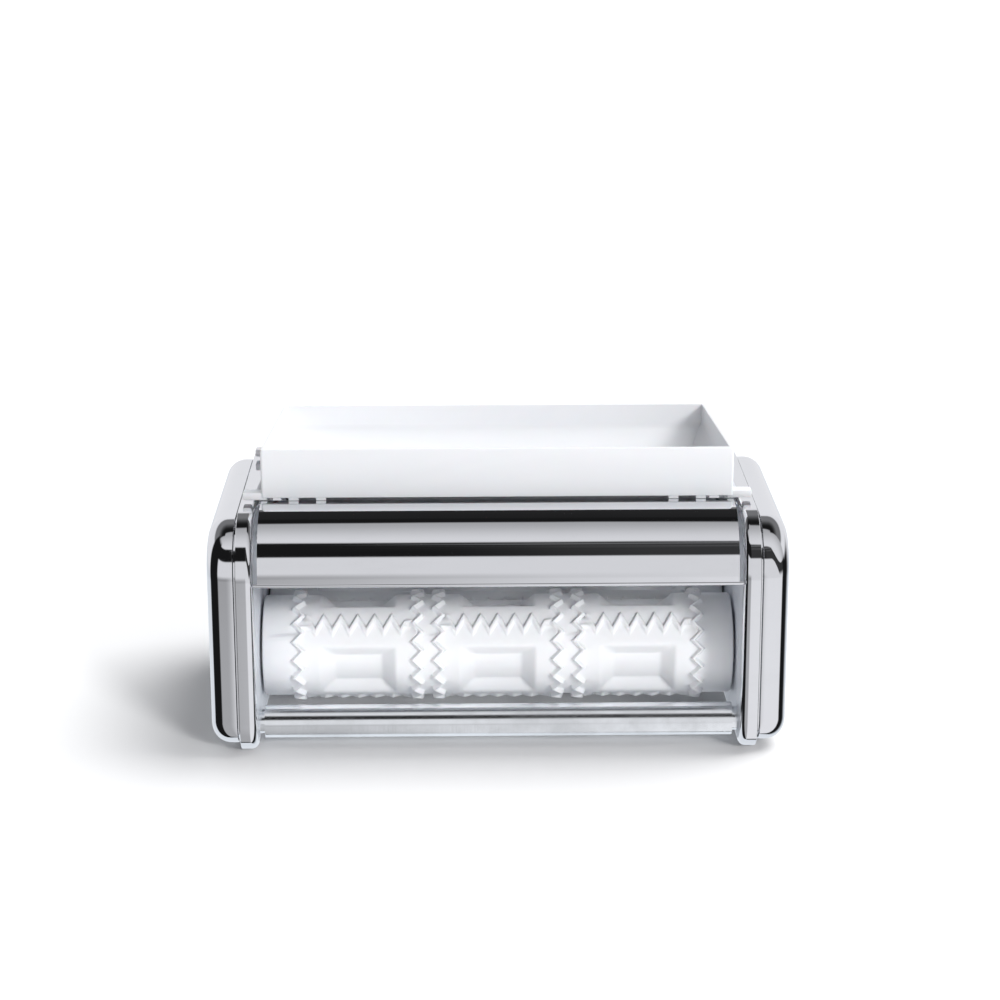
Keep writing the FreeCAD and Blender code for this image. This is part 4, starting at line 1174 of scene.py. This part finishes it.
def place_camera(context, settings):
    """The camera, aimed at a point over the front of the part."""
    lens = bpy.data.cameras.new("camera")
    lens.lens = settings.camera_lens
    lens.sensor_width = 36.0
    lens.clip_start = 0.01
    camera = link(context, bpy.data.objects.new("camera", lens))
    target = Vector((settings.camera_side, CAD_BOX[0][1], settings.camera_height))
    level = math.cos(settings.camera_elevation)
    away = Vector((level * math.sin(settings.camera_azimuth), -level * math.cos(settings.camera_azimuth),
                   math.sin(settings.camera_elevation)))
    turn = (-away).to_track_quat("-Z", "Y").to_matrix().to_4x4()
    turn = turn @ Matrix.Rotation(settings.camera_roll, 4, "Z")
    camera.matrix_world = Matrix.Translation(target + away * settings.camera_distance) @ turn
    context.scene.camera = camera


# --- operators -----------------------------------------------------------------------------

class RAVIOLI_OT_housings(bpy.types.Operator):
    """Press the side plates and the side covers"""
    bl_idname = "ravioli.housings"
    bl_label = "Side Housings"

    def execute(self, context):
        sizes = measures(context.scene.ravioli_housings)
        for side, mirrored in (("right", None), ("left", "X")):
            plate = pressed_piece(context, "pressed_" + side + "_plate", side_plate_mesh(sizes),
                                  side + "_side_plate", mirrored)
            plate.data.materials.append(finish("satin_plate"))
            pressed_piece(context, "drawn_" + side + "_cover", side_cover_mesh(sizes, side == "right"),
                          side + "_side_cover", mirrored)
        return {"FINISHED"}


class RAVIOLI_OT_covers(bpy.types.Operator):
    """Bend the front cover and the rear cover"""
    bl_idname = "ravioli.covers"
    bl_label = "Front and Rear Cover"

    def execute(self, context):
        sizes, plates = measures(context.scene.ravioli_covers), measures(context.scene.ravioli_housings)
        for end, mirrored in (("front", None), ("rear", "Y")):
            pressed_piece(context, "bent_" + end + "_cover", front_cover_mesh(sizes, plates),
                          end + "_cover", mirrored)
        return {"FINISHED"}


class RAVIOLI_OT_rods(bpy.types.Operator):
    """Finish the four tie rods"""
    bl_idname = "ravioli.rods"
    bl_label = "Tie Rods"

    def execute(self, context):
        for place in ("", "upper_"):
            for end in ("front", "rear"):
                coat(place + end + "_tie_rod", "polished_steel")
        return {"FINISHED"}


class RAVIOLI_OT_fittings(bpy.types.Operator):
    """Finish the screws, rivets, machine hooks, shafts, gears, keys, clips and bushes"""
    bl_idname = "ravioli.fittings"
    bl_label = "Steel Fittings"

    def execute(self, context):
        for node in ("tie_rod_screws", "side_cover_screws", "hook_rivets",
                     "right_machine_hook", "left_machine_hook"):
            coat(node, "zinc_plate")
        for node in ("drive_shaft", "idle_shaft", "drive_gear", "driven_gear", "drive_gear_key",
                     "driven_gear_key", "drive_shaft_clips", "idle_shaft_clips"):
            coat(node, "machined_steel")
        for end in ("front", "rear"):
            for side in ("right", "left"):
                coat(end + "_" + side + "_bush", "bush_nylon")
        return {"FINISHED"}


class RAVIOLI_OT_hopper(bpy.types.Operator):
    """Mould the hopper"""
    bl_idname = "ravioli.hopper"
    bl_label = "Hopper"

    def execute(self, context):
        mesh = hopper_mesh(measures(context.scene.ravioli_hopper))
        made = piece(context, "moulded_hopper", mesh, "hopper_white", "hopper", "hopper")
        made.data.set_sharp_from_angle(angle=SHARP)
        return {"FINISHED"}


class RAVIOLI_OT_mould_rollers(bpy.types.Operator):
    """Mould the two ravioli rollers"""
    bl_idname = "ravioli.mould_rollers"
    bl_label = "Mould Rollers"

    def execute(self, context):
        sizes = measures(context.scene.ravioli_rollers)
        for end, body in (("front", "drive_roller"), ("rear", "idle_roller")):
            node = end + "_mould_roller"
            low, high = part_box(node)
            mesh = mould_roller_mesh(sizes)
            if end == "rear":
                bmesh.ops.scale(mesh, vec=(1, -1, 1), verts=mesh.verts)
                bmesh.ops.reverse_faces(mesh, faces=mesh.faces)
            bmesh.ops.translate(mesh, vec=(Vector(low) + Vector(high)) / 2, verts=mesh.verts)
            piece(context, "moulded_" + end + "_roller", mesh, "roller_white", body, node)
        return {"FINISHED"}


class RAVIOLI_OT_stage(bpy.types.Operator):
    """Set the floor, the studio light and the camera"""
    bl_idname = "ravioli.stage"
    bl_label = "Studio"

    def execute(self, context):
        settings = context.scene.ravioli_stage
        lay_floor(context, settings)
        light_room(context, measures(settings))
        hang_light(context, "key_light", *KEY_LAMP, settings.key_power)
        hang_light(context, "front_light", *FRONT_LAMP, settings.front_power)
        hang_light(context, "rear_light", *REAR_LAMP, settings.rear_power, REAR_COLOUR)
        place_camera(context, settings)
        return {"FINISHED"}


# --- panel and registration ----------------------------------------------------------------

GROUPS = {"ravioli_stage": StageSettings, "ravioli_finishes": FinishSettings,
          "ravioli_housings": HousingSettings, "ravioli_covers": CoverSettings,
          "ravioli_hopper": HopperSettings, "ravioli_rollers": RollerSettings}
STEPS = (RAVIOLI_OT_stage, RAVIOLI_OT_housings, RAVIOLI_OT_covers, RAVIOLI_OT_rods, RAVIOLI_OT_fittings,
         RAVIOLI_OT_hopper, RAVIOLI_OT_mould_rollers)


class RAVIOLI_PT_sidebar(bpy.types.Panel):
    """Lists the steps that finish the attachment, and their settings"""
    bl_idname = "RAVIOLI_PT_sidebar"
    bl_label = "Ravioli Attachment"
    bl_space_type = "VIEW_3D"
    bl_region_type = "UI"
    bl_category = "Ravioli"

    def draw(self, context):
        for step in STEPS:
            self.layout.operator(step.bl_idname)
        for name, group in GROUPS.items():
            box = self.layout.box()
            for setting in group.__annotations__:
                box.prop(getattr(context.scene, name), setting)


CLASSES = tuple(GROUPS.values()) + STEPS + (RAVIOLI_PT_sidebar,)


def register():
    for cls in CLASSES:
        bpy.utils.register_class(cls)
    for name, group in GROUPS.items():
        setattr(bpy.types.Scene, name, PointerProperty(type=group))


def unregister():
    for name in GROUPS:
        delattr(bpy.types.Scene, name)
    for cls in reversed(CLASSES):
        bpy.utils.unregister_class(cls)


def main():
    register()
    for step in STEPS:
        area, name = step.bl_idname.split(".")
        getattr(getattr(bpy.ops, area), name)()


if __name__ == "__main__":
    main()
